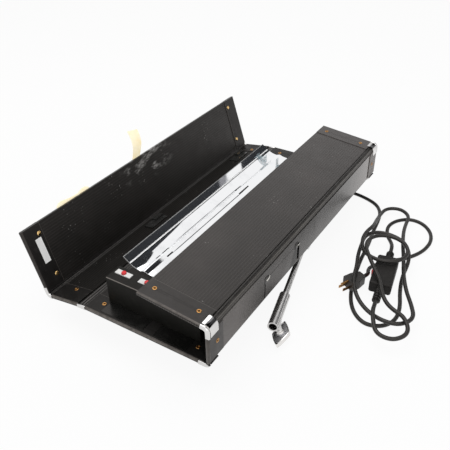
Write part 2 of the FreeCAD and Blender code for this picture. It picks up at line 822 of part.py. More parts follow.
def bracket(y):
    """Folded sheet standing on the back panel, with a tab under each inner trough."""
    foot_z = BACK_Z + SHEET
    tab_z = trough_under - BODY_GAP
    upright_y = y - BRACKET_TAB / 2 - BRACKET_SHEET
    upright = block(-BRACKET_HALF, BRACKET_HALF, upright_y, upright_y + BRACKET_SHEET, foot_z, tab_z)
    foot_y = upright_y + BRACKET_FOOT
    foot = block(-BRACKET_HALF, BRACKET_HALF, upright_y, foot_y, foot_z, foot_z + BRACKET_SHEET)
    tabs = []
    for x in (-trough_x, trough_x):
        x0 = x - BRACKET_TAB / 2
        tabs.append(block(x0, x0 + BRACKET_TAB, upright_y, y + BRACKET_TAB / 2, tab_z - BRACKET_SHEET, tab_z))
    return fused(upright, foot, *tabs).cut(rivet_holes)


export("reflector_brackets", *[bracket(y) for y in bracket_places])


def reflector_rivet(x, y):
    """Push rivet from a trough's floor down through a bracket's tab."""
    shank_z = trough_under - BODY_GAP - BRACKET_SHEET
    head_z = trough_z + BODY_GAP
    shank = cylinder(V(x, y, shank_z), Z_AXIS, REFLECTOR_RIVET_SHANK, head_z - shank_z)
    return fused(shank, cylinder(V(x, y, head_z), Z_AXIS, REFLECTOR_RIVET_HEAD, REFLECTOR_RIVET_RISE))


export("reflector_rivets", *[reflector_rivet(x, y) for x, y in rivet_places])

# Clear spring clips that hold the far ends of the lamps.

lamp_places = [-1.5 * LAMP_PITCH, -trough_x, trough_x, 1.5 * LAMP_PITCH]


def under_reflector(gap):
    """Everything below the reflector's bright face, raised by a gap."""
    path = reflector_path(-gap)
    high = BACK_Z + REFLECTOR_RISE + gap
    half = REFLECTOR_HALF
    points = [V(half, 0, high), V(half, 0, BACK_Z), V(-half, 0, BACK_Z), V(-half, 0, high)]
    sides = [Part.makeLine(points[i], points[i + 1]) for i in range(3)]
    face = Part.Face(Part.Wire(Part.__sortEdges__(path + sides)))
    face.translate(V(0, CLEAR_CLIP_Y, 0))
    return face.extrude(V(0, CLEAR_CLIP_DEPTH, 0))


def clear_clip(x, rise):
    """U clip of clear plastic, its foot cut to sit on the reflector."""
    half = CLEAR_CLIP_WIDTH / 2
    inside = half - CLEAR_CLIP_WALL
    y0 = CLEAR_CLIP_Y
    y1 = y0 + CLEAR_CLIP_DEPTH
    top = BACK_Z + CLEAR_CLIP_TOP
    body = block(x - half, x + half, y0, y1, BACK_Z, top)
    return body.cut([block(x - inside, x + inside, y0, y1, BACK_Z + rise, top), under_reflector(FIT_GAP)])


clip_places = []
for side in (-1, 1):
    clip_places += [(side * OUTER_CLIP_X, OUTER_CLIP_RISE), (side * trough_x, FLOOR_RISE)]
export("lamp_clips", *[clear_clip(x, rise) for x, rise in clip_places])

# Lamp holder block: a folded cover on the back panel, open towards the reflector.

block_far_y = BLOCK_NEAR_Y + BLOCK_DEPTH
block_low = BACK_Z + SHEET
block_top = BACK_Z + BLOCK_RISE
cover = block(-BLOCK_HALF, BLOCK_HALF, BLOCK_NEAR_Y, block_far_y, block_low, block_top)
cover_room = block(
    -BLOCK_HALF + BLOCK_SHEET,
    BLOCK_HALF - BLOCK_SHEET,
    BLOCK_NEAR_Y + BLOCK_SHEET,
    block_far_y,
    block_low,
    block_top - BLOCK_SHEET,
)
holder_y = BLOCK_NEAR_Y + HOLDER_FROM_FRONT
holder_low = block_top - HOLDER_DROP
windows = []
for x in lamp_places:
    half = HOLDER_LENGTH / 2 + BODY_GAP
    y1 = holder_y + HOLDER_DEPTH + BODY_GAP
    windows.append(block(x - half, x + half, holder_y - BODY_GAP, y1, holder_low, block_top))
cover = cover.cut([cover_room] + windows)
shelf = block(
    -BLOCK_HALF + BLOCK_SHEET,
    BLOCK_HALF - BLOCK_SHEET,
    BLOCK_NEAR_Y + BLOCK_SHEET,
    holder_y + HOLDER_DEPTH,
    holder_low - BLOCK_SHEET,
    holder_low,
)
channel_end_y = -HALF_LENGTH + CHANNEL_REACH + BODY_GAP
channel_top = block_low + CHANNEL_WALL
over_channel = block(-BLOCK_HALF, BLOCK_HALF, -HALF_LENGTH, channel_end_y, block_low, channel_top)
export("lamp_holder_block", fused(cover, shelf).cut(over_channel))


def hexagon(x, y, z, flats, height):
    """Upright hexagonal bar on a point of its axis."""
    radius = flats / math.sqrt(3)
    turns = [corner * math.pi / 3 for corner in range(6)]
    corners = [V(x + radius * math.cos(turn), y + radius * math.sin(turn), z) for turn in turns]
    return prism(corners, V(0, 0, height))


def lamp_holder(x):
    """White lamp holder: a socket mouth towards the reflector and a well for its button."""
    top = block_top + HOLDER_PROUD
    half = HOLDER_LENGTH / 2
    far_y = holder_y + HOLDER_DEPTH
    body = block(x - half, x + half, holder_y, far_y, holder_low, top)
    mouth_z = top - SOCKET_DROP - SOCKET_HEIGHT
    mouth_half = SOCKET_LENGTH / 2
    mouth_y = far_y - SOCKET_DEPTH
    mouth = block(x - mouth_half, x + mouth_half, mouth_y, far_y, mouth_z, mouth_z + SOCKET_HEIGHT)
    well_z = top - BUTTON_DEEP - BUTTON_TRAVEL - BODY_GAP
    well = hexagon(x, holder_y + HOLDER_DEPTH / 2, well_z, BUTTON_FLATS + 2 * BUTTON_PLAY, top - well_z)
    return body.cut([mouth, well])


export("lamp_holders", *[lamp_holder(x) for x in lamp_places])
for i, x in enumerate(lamp_places):
    button_z = block_top + HOLDER_PROUD - BUTTON_DEEP
    button = hexagon(x, holder_y + HOLDER_DEPTH / 2, button_z, BUTTON_FLATS, BUTTON_DEEP + BUTTON_PROUD)
    export("lamp_button_%d" % (i + 1), button)

# Ballast housing: an open tray screwed up against the back panel.

half_width = HOUSING_WIDTH / 2
half_housing = HOUSING_LENGTH / 2
tray = block(-half_width, half_width, -half_housing, half_housing, 0, HOUSING_HEIGHT)
tray_room = block(
    -half_width + HOUSING_SHEET,
    half_width - HOUSING_SHEET,
    -half_housing + HOUSING_SHEET,
    half_housing - HOUSING_SHEET,
    HOUSING_SHEET,
    HOUSING_HEIGHT,
)
flange_half = half_width + HOUSING_FLANGE
flange = block(
    -flange_half, flange_half, -half_housing, half_housing, HOUSING_HEIGHT - HOUSING_SHEET, HOUSING_HEIGHT
)
screw_x = half_width + HOUSING_FLANGE / 2
screw_end = half_housing - SCREW_FROM_END
screw_places = [(x, y) for x in (-screw_x, screw_x) for y in (-screw_end, 0, screw_end)]
screw_holes = []
for x, y in screw_places:
    start = V(x, y, HOUSING_HEIGHT - HOUSING_SHEET)
    screw_holes.append(cylinder(start, Z_AXIS, SCREW_SHANK + 2 * FIT_GAP, HOUSING_SHEET + SHEET))
gland_wall_y = half_housing - HOUSING_SHEET
gland_hole = cylinder(V(GLAND_X, gland_wall_y, GLAND_Z), Y_AXIS, GLAND_THREAD + 2 * FIT_GAP, HOUSING_SHEET)
export("ballast_housing", fused(tray, flange).cut([tray_room, gland_hole] + screw_holes))


def screw(x, y, seat_z):
    """Screw driven up from below: its head under a flange, its shank in the back panel."""
    head = cylinder(V(x, y, seat_z - SCREW_HEAD_RISE), Z_AXIS, SCREW_HEAD, SCREW_HEAD_RISE)
    return fused(head, cylinder(V(x, y, seat_z), Z_AXIS, SCREW_SHANK, BACK_Z + SHEET - seat_z))


housing_screws = [screw(x, y, HOUSING_HEIGHT - HOUSING_SHEET) for x, y in screw_places]


def ballast(x):
    """Ballast can on a longer foot plate."""
    half = BALLAST_WIDTH / 2
    y0 = BALLAST_Y - BALLAST_LENGTH / 2
    y1 = BALLAST_Y + BALLAST_LENGTH / 2
    can = block(x - half, x + half, y0, y1, HOUSING_SHEET, HOUSING_SHEET + BALLAST_HEIGHT)
    foot = block(x - half, x + half, y0 - BALLAST_FOOT, y1 + BALLAST_FOOT, HOUSING_SHEET, 2 * HOUSING_SHEET)
    return fused(can, foot)


export("ballasts", ballast(-BALLAST_SPACING / 2), ballast(BALLAST_SPACING / 2))

# Terminal block, the wires between it, the ballasts and the cord, and the gland that grips the cord.

terminal_half = TERMINAL_LENGTH / 2
terminal_near_y = TERMINAL_Y - TERMINAL_WIDTH / 2
terminal_far_y = TERMINAL_Y + TERMINAL_WIDTH / 2
terminal_top = HOUSING_SHEET + TERMINAL_HEIGHT
terminal = block(-terminal_half, terminal_half, terminal_near_y, terminal_far_y, HOUSING_SHEET, terminal_top)
ways = []
for i in range(TERMINAL_WAYS):
    x = (i - (TERMINAL_WAYS - 1) / 2) * TERMINAL_LENGTH / TERMINAL_WAYS
    start = V(x, TERMINAL_Y, terminal_top - TERMINAL_WAY_DEPTH)
    ways.append(cylinder(start, Z_AXIS, TERMINAL_WAY, TERMINAL_WAY_DEPTH))
export("terminal_block", terminal.cut(ways))
wire_z = HOUSING_SHEET + TERMINAL_HEIGHT / 2
ballast_end_y = BALLAST_Y + BALLAST_LENGTH / 2
wires = []
for x in (-BALLAST_WIRE_X, BALLAST_WIRE_X):
    wires.append(cylinder(V(x, ballast_end_y, wire_z), Y_AXIS, BALLAST_WIRE, terminal_near_y - ballast_end_y))
gland_inner_y = gland_wall_y - GLAND_NUT_DEPTH
supply_start = V(GLAND_X, terminal_far_y, GLAND_Z)
wires.append(cylinder(supply_start, Y_AXIS, SUPPLY_WIRE, gland_inner_y - terminal_far_y))


def gland_ring(y, depth, diameter):
    """One step of the gland, from a place along Y."""
    return cylinder(V(GLAND_X, y, GLAND_Z), Y_AXIS, diameter, depth)


gland_cap_y = half_housing + GLAND_BODY_DEPTH
gland = fused(
    gland_ring(gland_inner_y, GLAND_NUT_DEPTH, GLAND_NUT),
    gland_ring(gland_wall_y, HOUSING_SHEET, GLAND_THREAD),
    gland_ring(half_housing, GLAND_BODY_DEPTH, GLAND_BODY),
    gland_ring(gland_cap_y, GLAND_CAP_DEPTH, GLAND_CAP),
)
gland_length = gland_cap_y + GLAND_CAP_DEPTH - gland_inner_y
export("cord_gland", gland.cut(gland_ring(gland_inner_y, gland_length, CORD + 2 * FIT_GAP)))

# Lamp harness: from the holder block, along the back panel and down through a grommet to a ballast.


def swept(points, diameter, bend):
    """Round tube along straight runs joined by tangent arcs, no arc wider than a bend radius."""
    edges = []
    start = points[0]
    for i in range(1, len(points) - 1):
        before = (points[i - 1] - points[i]).normalize()
        after = (points[i + 1] - points[i]).normalize()
        half_turn = (math.pi - before.getAngle(after)) / 2
        shorter = min((points[i - 1] - points[i]).Length, (points[i + 1] - points[i]).Length)
        reach = min(0.45 * shorter, bend * math.tan(half_turn))
        radius = reach / math.tan(half_turn)
        outward = (before + after).normalize()
        enter = points[i] + before * reach
        leave = points[i] + after * reach
        peak = points[i] + outward * (radius / math.cos(half_turn) - radius)
        edges.append(Part.makeLine(start, enter))
        edges.append(Part.Arc(enter, peak, leave).toShape())
        start = leave
    edges.append(Part.makeLine(start, points[-1]))
    ring = Part.Wire(Part.makeCircle(diameter / 2, points[0], points[1] - points[0]))
    return Part.Wire(edges).makePipe(Part.Face(ring))


harness_x = BALLAST_SPACING / 2
harness_z = BACK_Z + HARNESS_RISE
harness_points = [
    V(harness_x, BLOCK_NEAR_Y + BLOCK_SHEET, harness_z),
    V(harness_x, HARNESS_Y, harness_z),
    V(harness_x, HARNESS_Y, HOUSING_SHEET + BALLAST_HEIGHT),
]
wires.append(swept(harness_points, HARNESS, HARNESS_BEND))
export("inner_wiring", *wires)
grommet_outer = HARNESS + 2 * GROMMET_WALL
grommet_low = BACK_Z - GROMMET_LIP


def grommet_ring(z, height, diameter):
    """One step of the grommet, from a height."""
    return cylinder(V(harness_x, HARNESS_Y, z), Z_AXIS, diameter, height)


grommet = fused(
    grommet_ring(grommet_low, GROMMET_LIP, grommet_outer + 2 * GROMMET_WALL),
    grommet_ring(BACK_Z, SHEET, grommet_outer),
    grommet_ring(BACK_Z + SHEET, GROMMET_LIP, grommet_outer + 2 * GROMMET_WALL),
)
grommet_bore = grommet_ring(grommet_low, SHEET + 2 * GROMMET_LIP, HARNESS + 2 * FIT_GAP)
export("harness_grommet", grommet.cut(grommet_bore))

# Stand arm: a plate and stud under the back panel carry a swivel, a tilting rod and a stand receiver.
# Its pieces are drawn along +x from the stud and then slewed into place.

hub = V(ARM_PIVOT_X, ARM_PIVOT_Y, BACK_Z - ARM_DROP)
barrel_half = ARM_DROP - MOUNT_PLATE - BODY_GAP


def on_arm(shape):
    """Take a piece drawn along +x from the stud to the arm's direction at rest."""
    placed = shape.copy()
    placed.rotate(ORIGIN, Z_AXIS, ARM_SLEW - 90)
    placed.translate(hub)
    return placed


plate_low = BACK_Z - MOUNT_PLATE
plate_x = MOUNT_PLATE_X / 2
plate_y = MOUNT_PLATE_Y / 2
plate = block(hub.x - plate_x, hub.x + plate_x, hub.y - plate_y, hub.y + plate_y, plate_low, BACK_Z)
stud_low = hub.z - barrel_half - BODY_GAP - NUT_HEIGHT
stud = cylinder(V(hub.x, hub.y, stud_low), Z_AXIS, STUD, plate_low - stud_low)
mount_places = []
for x in (hub.x - plate_x + SCREW_HEAD, hub.x + plate_x - SCREW_HEAD):
    mount_places += [(x, hub.y - plate_y + SCREW_HEAD), (x, hub.y + plate_y - SCREW_HEAD)]
mount_holes = []
for x, y in mount_places:
    mount_holes.append(cylinder(V(x, y, plate_low), Z_AXIS, SCREW_SHANK + 2 * FIT_GAP, MOUNT_PLATE + SHEET))
sink = SCREW_HEAD + 2 * FIT_GAP
sinks = [cylinder(V(x, y, plate_low), Z_AXIS, sink, SCREW_HEAD_RISE) for x, y in mount_places]
export("mount_plate", fused(plate, stud).cut(mount_holes + sinks))
mount_screws = [screw(x, y, plate_low + SCREW_HEAD_RISE) for x, y in mount_places]
export("panel_screws", *housing_screws, *mount_screws)
nut = hexagon(hub.x, hub.y, stud_low, NUT_FLATS, NUT_HEIGHT)
export("swivel_nut", nut.cut(cylinder(V(hub.x, hub.y, stud_low), Z_AXIS, STUD + 2 * FIT_GAP, NUT_HEIGHT)))

# The back panel takes every bore that comes up through it.

harness_hole = grommet_ring(BACK_Z, SHEET, grommet_outer + 2 * FIT_GAP)
export("back_panel", on_back(back_sheet).cut(screw_holes + mount_holes + [harness_hole]))

barrel = cylinder(V(0, 0, -barrel_half), Z_AXIS, SWIVEL_OUTER, 2 * barrel_half)
ear_in = EYE / 2 + BODY_GAP
ears = []
for y in (-ear_in - EAR, ear_in):
    ears.append(block(0, PIN_REACH, y, y + EAR, -EAR_RADIUS, EAR_RADIUS))
    ears.append(cylinder(V(PIN_REACH, y, 0), Y_AXIS, 2 * EAR_RADIUS, EAR))
ear_out = ear_in + EAR
pin_hole = cylinder(V(PIN_REACH, -ear_out, 0), Y_AXIS, PIN + 2 * FIT_GAP, 2 * ear_out)
stud_hole = cylinder(V(0, 0, -barrel_half), Z_AXIS, STUD + 2 * RUN_GAP, 2 * barrel_half)
export("swivel_block", on_arm(fused(barrel, *ears).cut([pin_hole, stud_hole])))
pin_body = cylinder(V(PIN_REACH, -ear_out, 0), Y_AXIS, PIN, 2 * ear_out)
pin_ends = []
for y in (-ear_out - PIN_HEAD, ear_out):
    pin_ends.append(cylinder(V(PIN_REACH, y, 0), Y_AXIS, 1.5 * PIN, PIN_HEAD))
export("tilt_pin", on_arm(fused(pin_body, *pin_ends)))

eye = cylinder(V(PIN_REACH, -EYE / 2, 0), Y_AXIS, 2 * EYE_RADIUS, EYE)
neck = block(PIN_REACH, PIN_REACH + ROD_START, -EYE / 2, EYE / 2, -ROD / 2, ROD / 2)
rod_x = PIN_REACH + ROD_START
rod = cylinder(V(rod_x, 0, 0), X_AXIS, ROD, TUBE_START + TUBE_END_WALL - rod_x)
eye_hole = cylinder(V(PIN_REACH, -EYE / 2, 0), Y_AXIS, PIN + 2 * RUN_GAP, EYE)
export("arm_rod", on_arm(fused(eye, neck, rod).cut(eye_hole)))

# Stand receiver with its lug and web, and the knob whose screw runs in the lug.

lug_x = TUBE_START + TUBE_LENGTH - LUG_FROM_MOUTH


def on_lug(shape):
    """Take a piece drawn up +z from the tube's axis to the lug's own direction."""
    placed = shape.copy()
    placed.rotate(ORIGIN, X_AXIS, 180 + LUG_TILT)
    placed.translate(V(lug_x, 0, 0))
    return placed


tube_radius = TUBE_OUTER / 2
tube_start = V(TUBE_START, 0, 0)
tube_cone = Part.makeCone(tube_radius - TUBE_CHAMFER, tube_radius, TUBE_CHAMFER, tube_start, X_AXIS)
tube_body = cylinder(V(TUBE_START + TUBE_CHAMFER, 0, 0), X_AXIS, TUBE_OUTER, TUBE_LENGTH - TUBE_CHAMFER)
lug = on_lug(cylinder(ORIGIN, Z_AXIS, LUG, LUG_REACH))
wall_mid = (TUBE_BORE + TUBE_OUTER) / 4
web_points = [V(0, -WEB / 2, LUG_REACH), V(0, -WEB / 2, wall_mid), V(-WEB_LENGTH, -WEB / 2, wall_mid)]
web = on_lug(prism(web_points, V(0, WEB, 0)))
tube_bore = cylinder(V(TUBE_START + TUBE_END_WALL, 0, 0), X_AXIS, TUBE_BORE, TUBE_LENGTH - TUBE_END_WALL)
rod_hole = cylinder(V(TUBE_START, 0, 0), X_AXIS, ROD + 2 * FIT_GAP, TUBE_END_WALL)
lug_hole = on_lug(cylinder(ORIGIN, Z_AXIS, LOCK_SCREW + 2 * RUN_GAP, LUG_REACH))
export("receiver_tube", on_arm(fused(tube_cone, tube_body, lug, web).cut([tube_bore, rod_hole, lug_hole])))

knob_low = KNOB_REACH - KNOB_THICK / 2
knob_corners = []
for x, y in ((1, 0), (0, 1), (-1, 0), (0, -1)):
    tip = V(x * KNOB_LONG / 2, y * KNOB_SHORT / 2, knob_low)
    inward = tip * (1 - KNOB_CORNER / (KNOB_LONG / 2)) if x else tip * (1 - KNOB_CORNER / (KNOB_SHORT / 2))
    inward.z = knob_low
    slope = KNOB_CORNER * (KNOB_SHORT / KNOB_LONG if x else KNOB_LONG / KNOB_SHORT)
    aside = V(-y * slope, x * slope, 0)
    knob_corners += [inward - aside, inward + aside]
plate_knob = prism(knob_corners, V(0, 0, KNOB_THICK))
collar_low = LUG_REACH + BODY_GAP
collar = Part.makeCone(COLLAR_TIP / 2, COLLAR_BASE / 2, knob_low - collar_low, V(0, 0, collar_low), Z_AXIS)
screw_low = TUBE_BORE / 2 + SCREW_TIP_GAP
lock_screw = cylinder(V(0, 0, screw_low), Z_AXIS, LOCK_SCREW, KNOB_REACH - screw_low)
export("lock_knob", on_arm(on_lug(fused(plate_knob, collar, lock_screw))))

# Switch box: drawn along +x from its middle, its underside at z = 0, then laid on the bundle.

box_half = BOX_LENGTH / 2
box_axis_z = BOX_HEIGHT / 2


def on_floor(shape, x, y, z, angle):
    """Turn a piece about Z and set it down at a place."""
    placed = shape.copy()
    placed.rotate(ORIGIN, Z_AXIS, angle)
    placed.translate(V(x, y, z))
    return placed


def on_box(shape):
    """Take a piece drawn about the switch box to its place."""
    return on_floor(shape, BOX_X, BOX_Y, BOX_LIFT, BOX_TURN)


def box_bore(x, length):
    """Bore for the cord along the box's axis."""
    return cylinder(V(x, 0, box_axis_z), X_AXIS, CORD + 2 * FIT_GAP, length)


box_body = block(-box_half, box_half, -BOX_WIDTH / 2, BOX_WIDTH / 2, 0, BOX_HEIGHT)
box_body = box_body.makeFillet(BOX_ROUND, box_body.Edges)
pocket_half = ROCKER_LENGTH / 2 + 2 * ROCKER_GAP
pocket_z = (BOX_HEIGHT - ROCKER_HEIGHT) / 2 - ROCKER_GAP
pocket = block(
    ROCKER_X - pocket_half,
    ROCKER_X + pocket_half,
    -BOX_WIDTH / 2,
    -BOX_WIDTH / 2 + ROCKER_POCKET,
    pocket_z,
    pocket_z + ROCKER_HEIGHT + 2 * ROCKER_GAP,
)
box_bores = [box_bore(-box_half, BOX_CORD_DEPTH), box_bore(box_half - BOX_CORD_DEPTH, BOX_CORD_DEPTH)]
export("switch_box", on_box(box_body.cut([pocket] + box_bores)))


def strain_relief(length):
    """Tapered sleeve with ribs, drawn along +x from the box's end."""
    sleeve = Part.makeCone(RELIEF_BASE / 2, RELIEF_TIP / 2, length, V(0, 0, box_axis_z), X_AXIS)
    ribs = []
    for i in range(RELIEF_RIBS):
        x = (i + 0.4) * length / RELIEF_RIBS
        ribs.append(cylinder(V(x, 0, box_axis_z), X_AXIS, RELIEF_BASE, RELIEF_RIB))
    return fused(sleeve, *ribs).cut(box_bore(0, length))


lower_relief = strain_relief(LOWER_RELIEF)
lower_relief.translate(V(box_half, 0, 0))
upper_relief = strain_relief(UPPER_RELIEF)
upper_relief.rotate(ORIGIN, Z_AXIS, 180)
upper_relief.translate(V(-box_half, 0, 0))
export("switch_strain_reliefs", on_box(lower_relief), on_box(upper_relief))

# Rocker on the box's left side, at rest with its near end pressed in.

rocker_outline = [
    V(-ROCKER_LENGTH / 2, -ROCKER_CREST, 0),
    V(0, -ROCKER_DIP, 0),
    V(ROCKER_LENGTH / 2, -ROCKER_CREST, 0),
    V(ROCKER_LENGTH / 2, ROCKER_DEPTH, 0),
    V(-ROCKER_LENGTH / 2, ROCKER_DEPTH, 0),
]
rocker = prism(rocker_outline, V(0, 0, ROCKER_HEIGHT))
rocker.rotate(V(0, ROCKER_PIVOT, 0), Z_AXIS, ROCKER_TILT)
rocker.translate(V(ROCKER_X, -BOX_WIDTH / 2, pocket_z + ROCKER_GAP))
export("rocker_switch", on_box(rocker))

# Plug: drawn along +x towards its prongs, lying across the cord.

plug_half = PLUG_LENGTH / 2


def on_plug(shape):
    """Take a piece drawn about the plug to its place."""
    return on_floor(shape, PLUG_X, PLUG_Y, PLUG_Z, PLUG_TURN)


plug_outline = [
    V(-plug_half, -PLUG_WAIST / 2, -PLUG_HEIGHT / 2),
    V(0, -PLUG_WIDTH / 2, -PLUG_HEIGHT / 2),
    V(plug_half, -PLUG_WIDTH / 2, -PLUG_HEIGHT / 2),
    V(plug_half, PLUG_WIDTH / 2, -PLUG_HEIGHT / 2),
    V(0, PLUG_WIDTH / 2, -PLUG_HEIGHT / 2),
    V(-plug_half, PLUG_WAIST / 2, -PLUG_HEIGHT / 2),
]
prong_x = plug_half - PRONG_ROOT
prong_length = PRONG_ROOT + BLADE_LENGTH


def blade(y, gap):
    """Flat prong, or its slot when a gap is given."""
    return block(
        prong_x,
        prong_x + prong_length,
        y - BLADE / 2 - gap,
        y + BLADE / 2 + gap,
        -BLADE_DROP - BLADE_HEIGHT / 2 - gap,
        -BLADE_DROP + BLADE_HEIGHT / 2 + gap,
    )


def ground_pin(gap):
    """Round prong, or its hole when a gap is given."""
    start = V(prong_x, 0, GROUND_RISE - BLADE_DROP)
    return cylinder(start, X_AXIS, GROUND_PIN + 2 * gap, prong_length)


half_spacing = BLADE_SPACING / 2
slots = [blade(-half_spacing, FIT_GAP), blade(half_spacing, FIT_GAP), ground_pin(FIT_GAP)]
cord_hole = cylinder(V(-plug_half, 0, 0), X_AXIS, CORD + 2 * FIT_GAP, PLUG_CORD_DEPTH)
export("plug_body", on_plug(prism(plug_outline, V(0, 0, PLUG_HEIGHT)).cut(slots + [cord_hole])))
prongs = [blade(-half_spacing, 0), blade(half_spacing, 0), ground_pin(0)]
export("plug_prongs", *[on_plug(prong) for prong in prongs])

# Mains cord: from the gland to the switch box, and from the box to the plug.


def layer_z(layer):
    """Height of the cord's middle in a layer of the bundle."""
    return CORD_LIFT + CORD / 2 + layer * CORD_LAYER


def box_point(reach):
    """Point on the switch box's axis, a distance from its middle."""
    turn = math.radians(BOX_TURN)
    return V(BOX_X + reach * math.cos(turn), BOX_Y + reach * math.sin(turn), BOX_LIFT + box_axis_z)


def plug_point(reach):
    """Point on the plug's axis, a distance from its middle."""
    turn = math.radians(PLUG_TURN)
    return V(PLUG_X + reach * math.cos(turn), PLUG_Y + reach * math.sin(turn), PLUG_Z)


box_cord_end = box_half - BOX_CORD_DEPTH
lead_points = [V(GLAND_X, gland_inner_y, GLAND_Z), V(GLAND_X, LEAD_TURN_Y, GLAND_Z)]
lead_points += [V(x, y, layer_z(layer)) for x, y, layer in LEAD_ROUTE]
lead_points += [box_point(LEAD_TURN_REACH), box_point(box_cord_end)]
export("cord_lead", swept(lead_points, CORD, CORD_BEND))
tail_points = [box_point(-box_cord_end), box_point(-TAIL_TURN_REACH)]
tail_points += [V(x, y, layer_z(layer)) for x, y, layer in TAIL_ROUTE]
tail_points += [plug_point(-plug_half - PLUG_TURN_REACH), plug_point(PLUG_CORD_DEPTH - plug_half)]
export("cord_tail", swept(tail_points, CORD, CORD_BEND))
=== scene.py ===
import json
import math

import bmesh
import bpy
from mathutils import Matrix, Vector, geometry

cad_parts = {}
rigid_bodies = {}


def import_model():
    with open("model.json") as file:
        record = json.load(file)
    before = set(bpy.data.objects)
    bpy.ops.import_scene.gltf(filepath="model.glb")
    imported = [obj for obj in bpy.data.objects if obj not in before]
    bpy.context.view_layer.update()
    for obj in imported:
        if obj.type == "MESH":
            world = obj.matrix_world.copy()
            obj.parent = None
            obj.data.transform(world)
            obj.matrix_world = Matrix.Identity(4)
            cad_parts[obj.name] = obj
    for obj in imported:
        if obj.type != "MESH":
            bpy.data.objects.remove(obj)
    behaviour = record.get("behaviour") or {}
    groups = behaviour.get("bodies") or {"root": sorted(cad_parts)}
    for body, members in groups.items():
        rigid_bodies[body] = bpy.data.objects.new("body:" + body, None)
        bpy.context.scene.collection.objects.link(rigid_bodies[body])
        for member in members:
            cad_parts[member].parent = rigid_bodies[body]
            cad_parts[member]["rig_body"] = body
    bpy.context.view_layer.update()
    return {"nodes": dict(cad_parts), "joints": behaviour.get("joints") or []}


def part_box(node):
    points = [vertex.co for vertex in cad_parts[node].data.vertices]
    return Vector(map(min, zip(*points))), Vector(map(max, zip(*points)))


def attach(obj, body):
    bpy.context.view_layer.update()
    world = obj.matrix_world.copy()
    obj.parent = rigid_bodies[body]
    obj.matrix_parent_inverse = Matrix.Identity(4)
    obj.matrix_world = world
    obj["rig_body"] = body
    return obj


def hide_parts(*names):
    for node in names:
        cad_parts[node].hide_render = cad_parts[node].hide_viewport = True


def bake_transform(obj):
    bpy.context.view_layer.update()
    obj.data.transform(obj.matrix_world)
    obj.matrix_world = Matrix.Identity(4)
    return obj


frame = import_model()
nodes = frame["nodes"]
joints = {joint["name"]: joint for joint in frame["joints"]}

# Panels: black twin-wall polypropylene sheet, extruded with flutes along the light.
# The ribs between the flutes show through both skins as faint lines, and the skins carry dust and scuffs.
SIDEWAYS = Vector((1, 0, 0))
LENGTHWISE = Vector((0, 1, 0))
UPWARDS = Vector((0, 0, 1))
FLUTE_PITCH = 0.006
SHEET_BLACK = (0.0092, 0.0086, 0.0078, 1)
SHEET_RIB = (0.05, 0.046, 0.044, 1)
SHEET_DUST = (0.042, 0.037, 0.035, 1)
CHALK = (0.3, 0.29, 0.28, 1)
# Colour of the painted sheen on the right door and its channels.
FAR_SHEEN = (0.1, 0.092, 0.09, 1)
WARM_GLOSS = (1.0, 0.93, 0.89, 1)
EDGE_FULL = 0.8
SIDE_GLOSS = 0.9
SIDE_RELIEF = 0.04
# Painted sheen of the right wall, with its stops along the length.
SIDE_SHEEN = (0.2, 0.184, 0.176, 1)
SIDE_SHEEN_STOPS = [(0.0, 0.2), (0.12, 0.45), (0.24, 0.0), (0.75, 0.0), (0.93, 0.85)]
# Painted shade along the side sheet's open gap and over its far end.
SIDE_GAP = 0.0026
SIDE_FAR_SHADE = 0.012
SIDE_FAR_SHADE_SOFT = 0.002
SIDE_SLANT = 0.5
GAP_SHADE = (0.001, 0.001, 0.001, 1)
SCUFF_MIDDLE = (-0.272, -0.005, 0.17)
SCUFF_SIZE = (0.05, 0.105, 0.05)
SAME_POINT = 1e-6
SOFTEN_ANGLE = 50


def add(tree, kind, inputs=None, **settings):
    """Add a node; an input takes a plain value or another node's socket."""
    made = tree.nodes.new(kind)
    for name, value in settings.items():
        setattr(made, name, value)
    for key, value in (inputs or {}).items():
        if isinstance(value, bpy.types.NodeSocket):
            tree.links.new(value, made.inputs[key])
        else:
            made.inputs[key].default_value = value
    return made


def tree_and_shader(material):
    """Node tree of a material, with its shader."""
    return material.node_tree, material.node_tree.nodes["Principled BSDF"]


def new_finish(name, **sockets):
    """New material with the plain numbers of its shader set."""
    material = bpy.data.materials.new(name)
    material.use_nodes = True
    tree, shader = tree_and_shader(material)
    for socket, value in sockets.items():
        shader.inputs[socket.replace("_", " ")].default_value = value
    return material, tree, shader


def drive(shader, **sockets):
    """Let other nodes set inputs of a shader."""
    for socket, value in sockets.items():
        shader.id_data.links.new(value, shader.inputs[socket.replace("_", " ")])


def place(tree):
    """The place of a point of the surface, in the piece's own frame."""
    return add(tree, "ShaderNodeTexCoord").outputs["Object"]


def grain(tree, scale, detail, stretch=(1, 1, 1)):
    """Noise over the surface, drawn out along an axis whose stretch is below one."""
    mapped = add(tree, "ShaderNodeMapping", {"Vector": place(tree), "Scale": stretch})
    inputs = {"Vector": mapped.outputs[0], "Scale": scale, "Detail": detail}
    return add(tree, "ShaderNodeTexNoise", inputs).outputs["Fac"]


def ranged(tree, value, low, high, start, end):
    """Take a value from one range to another, clamped."""
    inputs = {"Value": value, "From Min": low, "From Max": high, "To Min": start, "To Max": end}
    return add(tree, "ShaderNodeMapRange", inputs).outputs["Result"]


def math_node(tree, operation, first, second=0.0):
    """One step of arithmetic on two sockets or numbers."""
    return add(tree, "ShaderNodeMath", {0: first, 1: second}, operation=operation).outputs[0]


def times(tree, first, second):
    """Product of two sockets or numbers."""
    return math_node(tree, "MULTIPLY", first, second)


def highest(tree, first, second):
    """The higher of two sockets or numbers."""
    return math_node(tree, "MAXIMUM", first, second)


def mixed(tree, factor, first, second):
    """Colour between two colours."""
    mix = add(tree, "ShaderNodeMix", {0: factor, 6: first, 7: second}, data_type="RGBA")
    return mix.outputs[2]


def overlay(shader, factor, colour):
    """Lay a colour over the one that a shader has so far."""
    plain = shader.inputs["Base Color"].links[0].from_socket
    drive(shader, Base_Color=mixed(shader.id_data, factor, plain, colour))


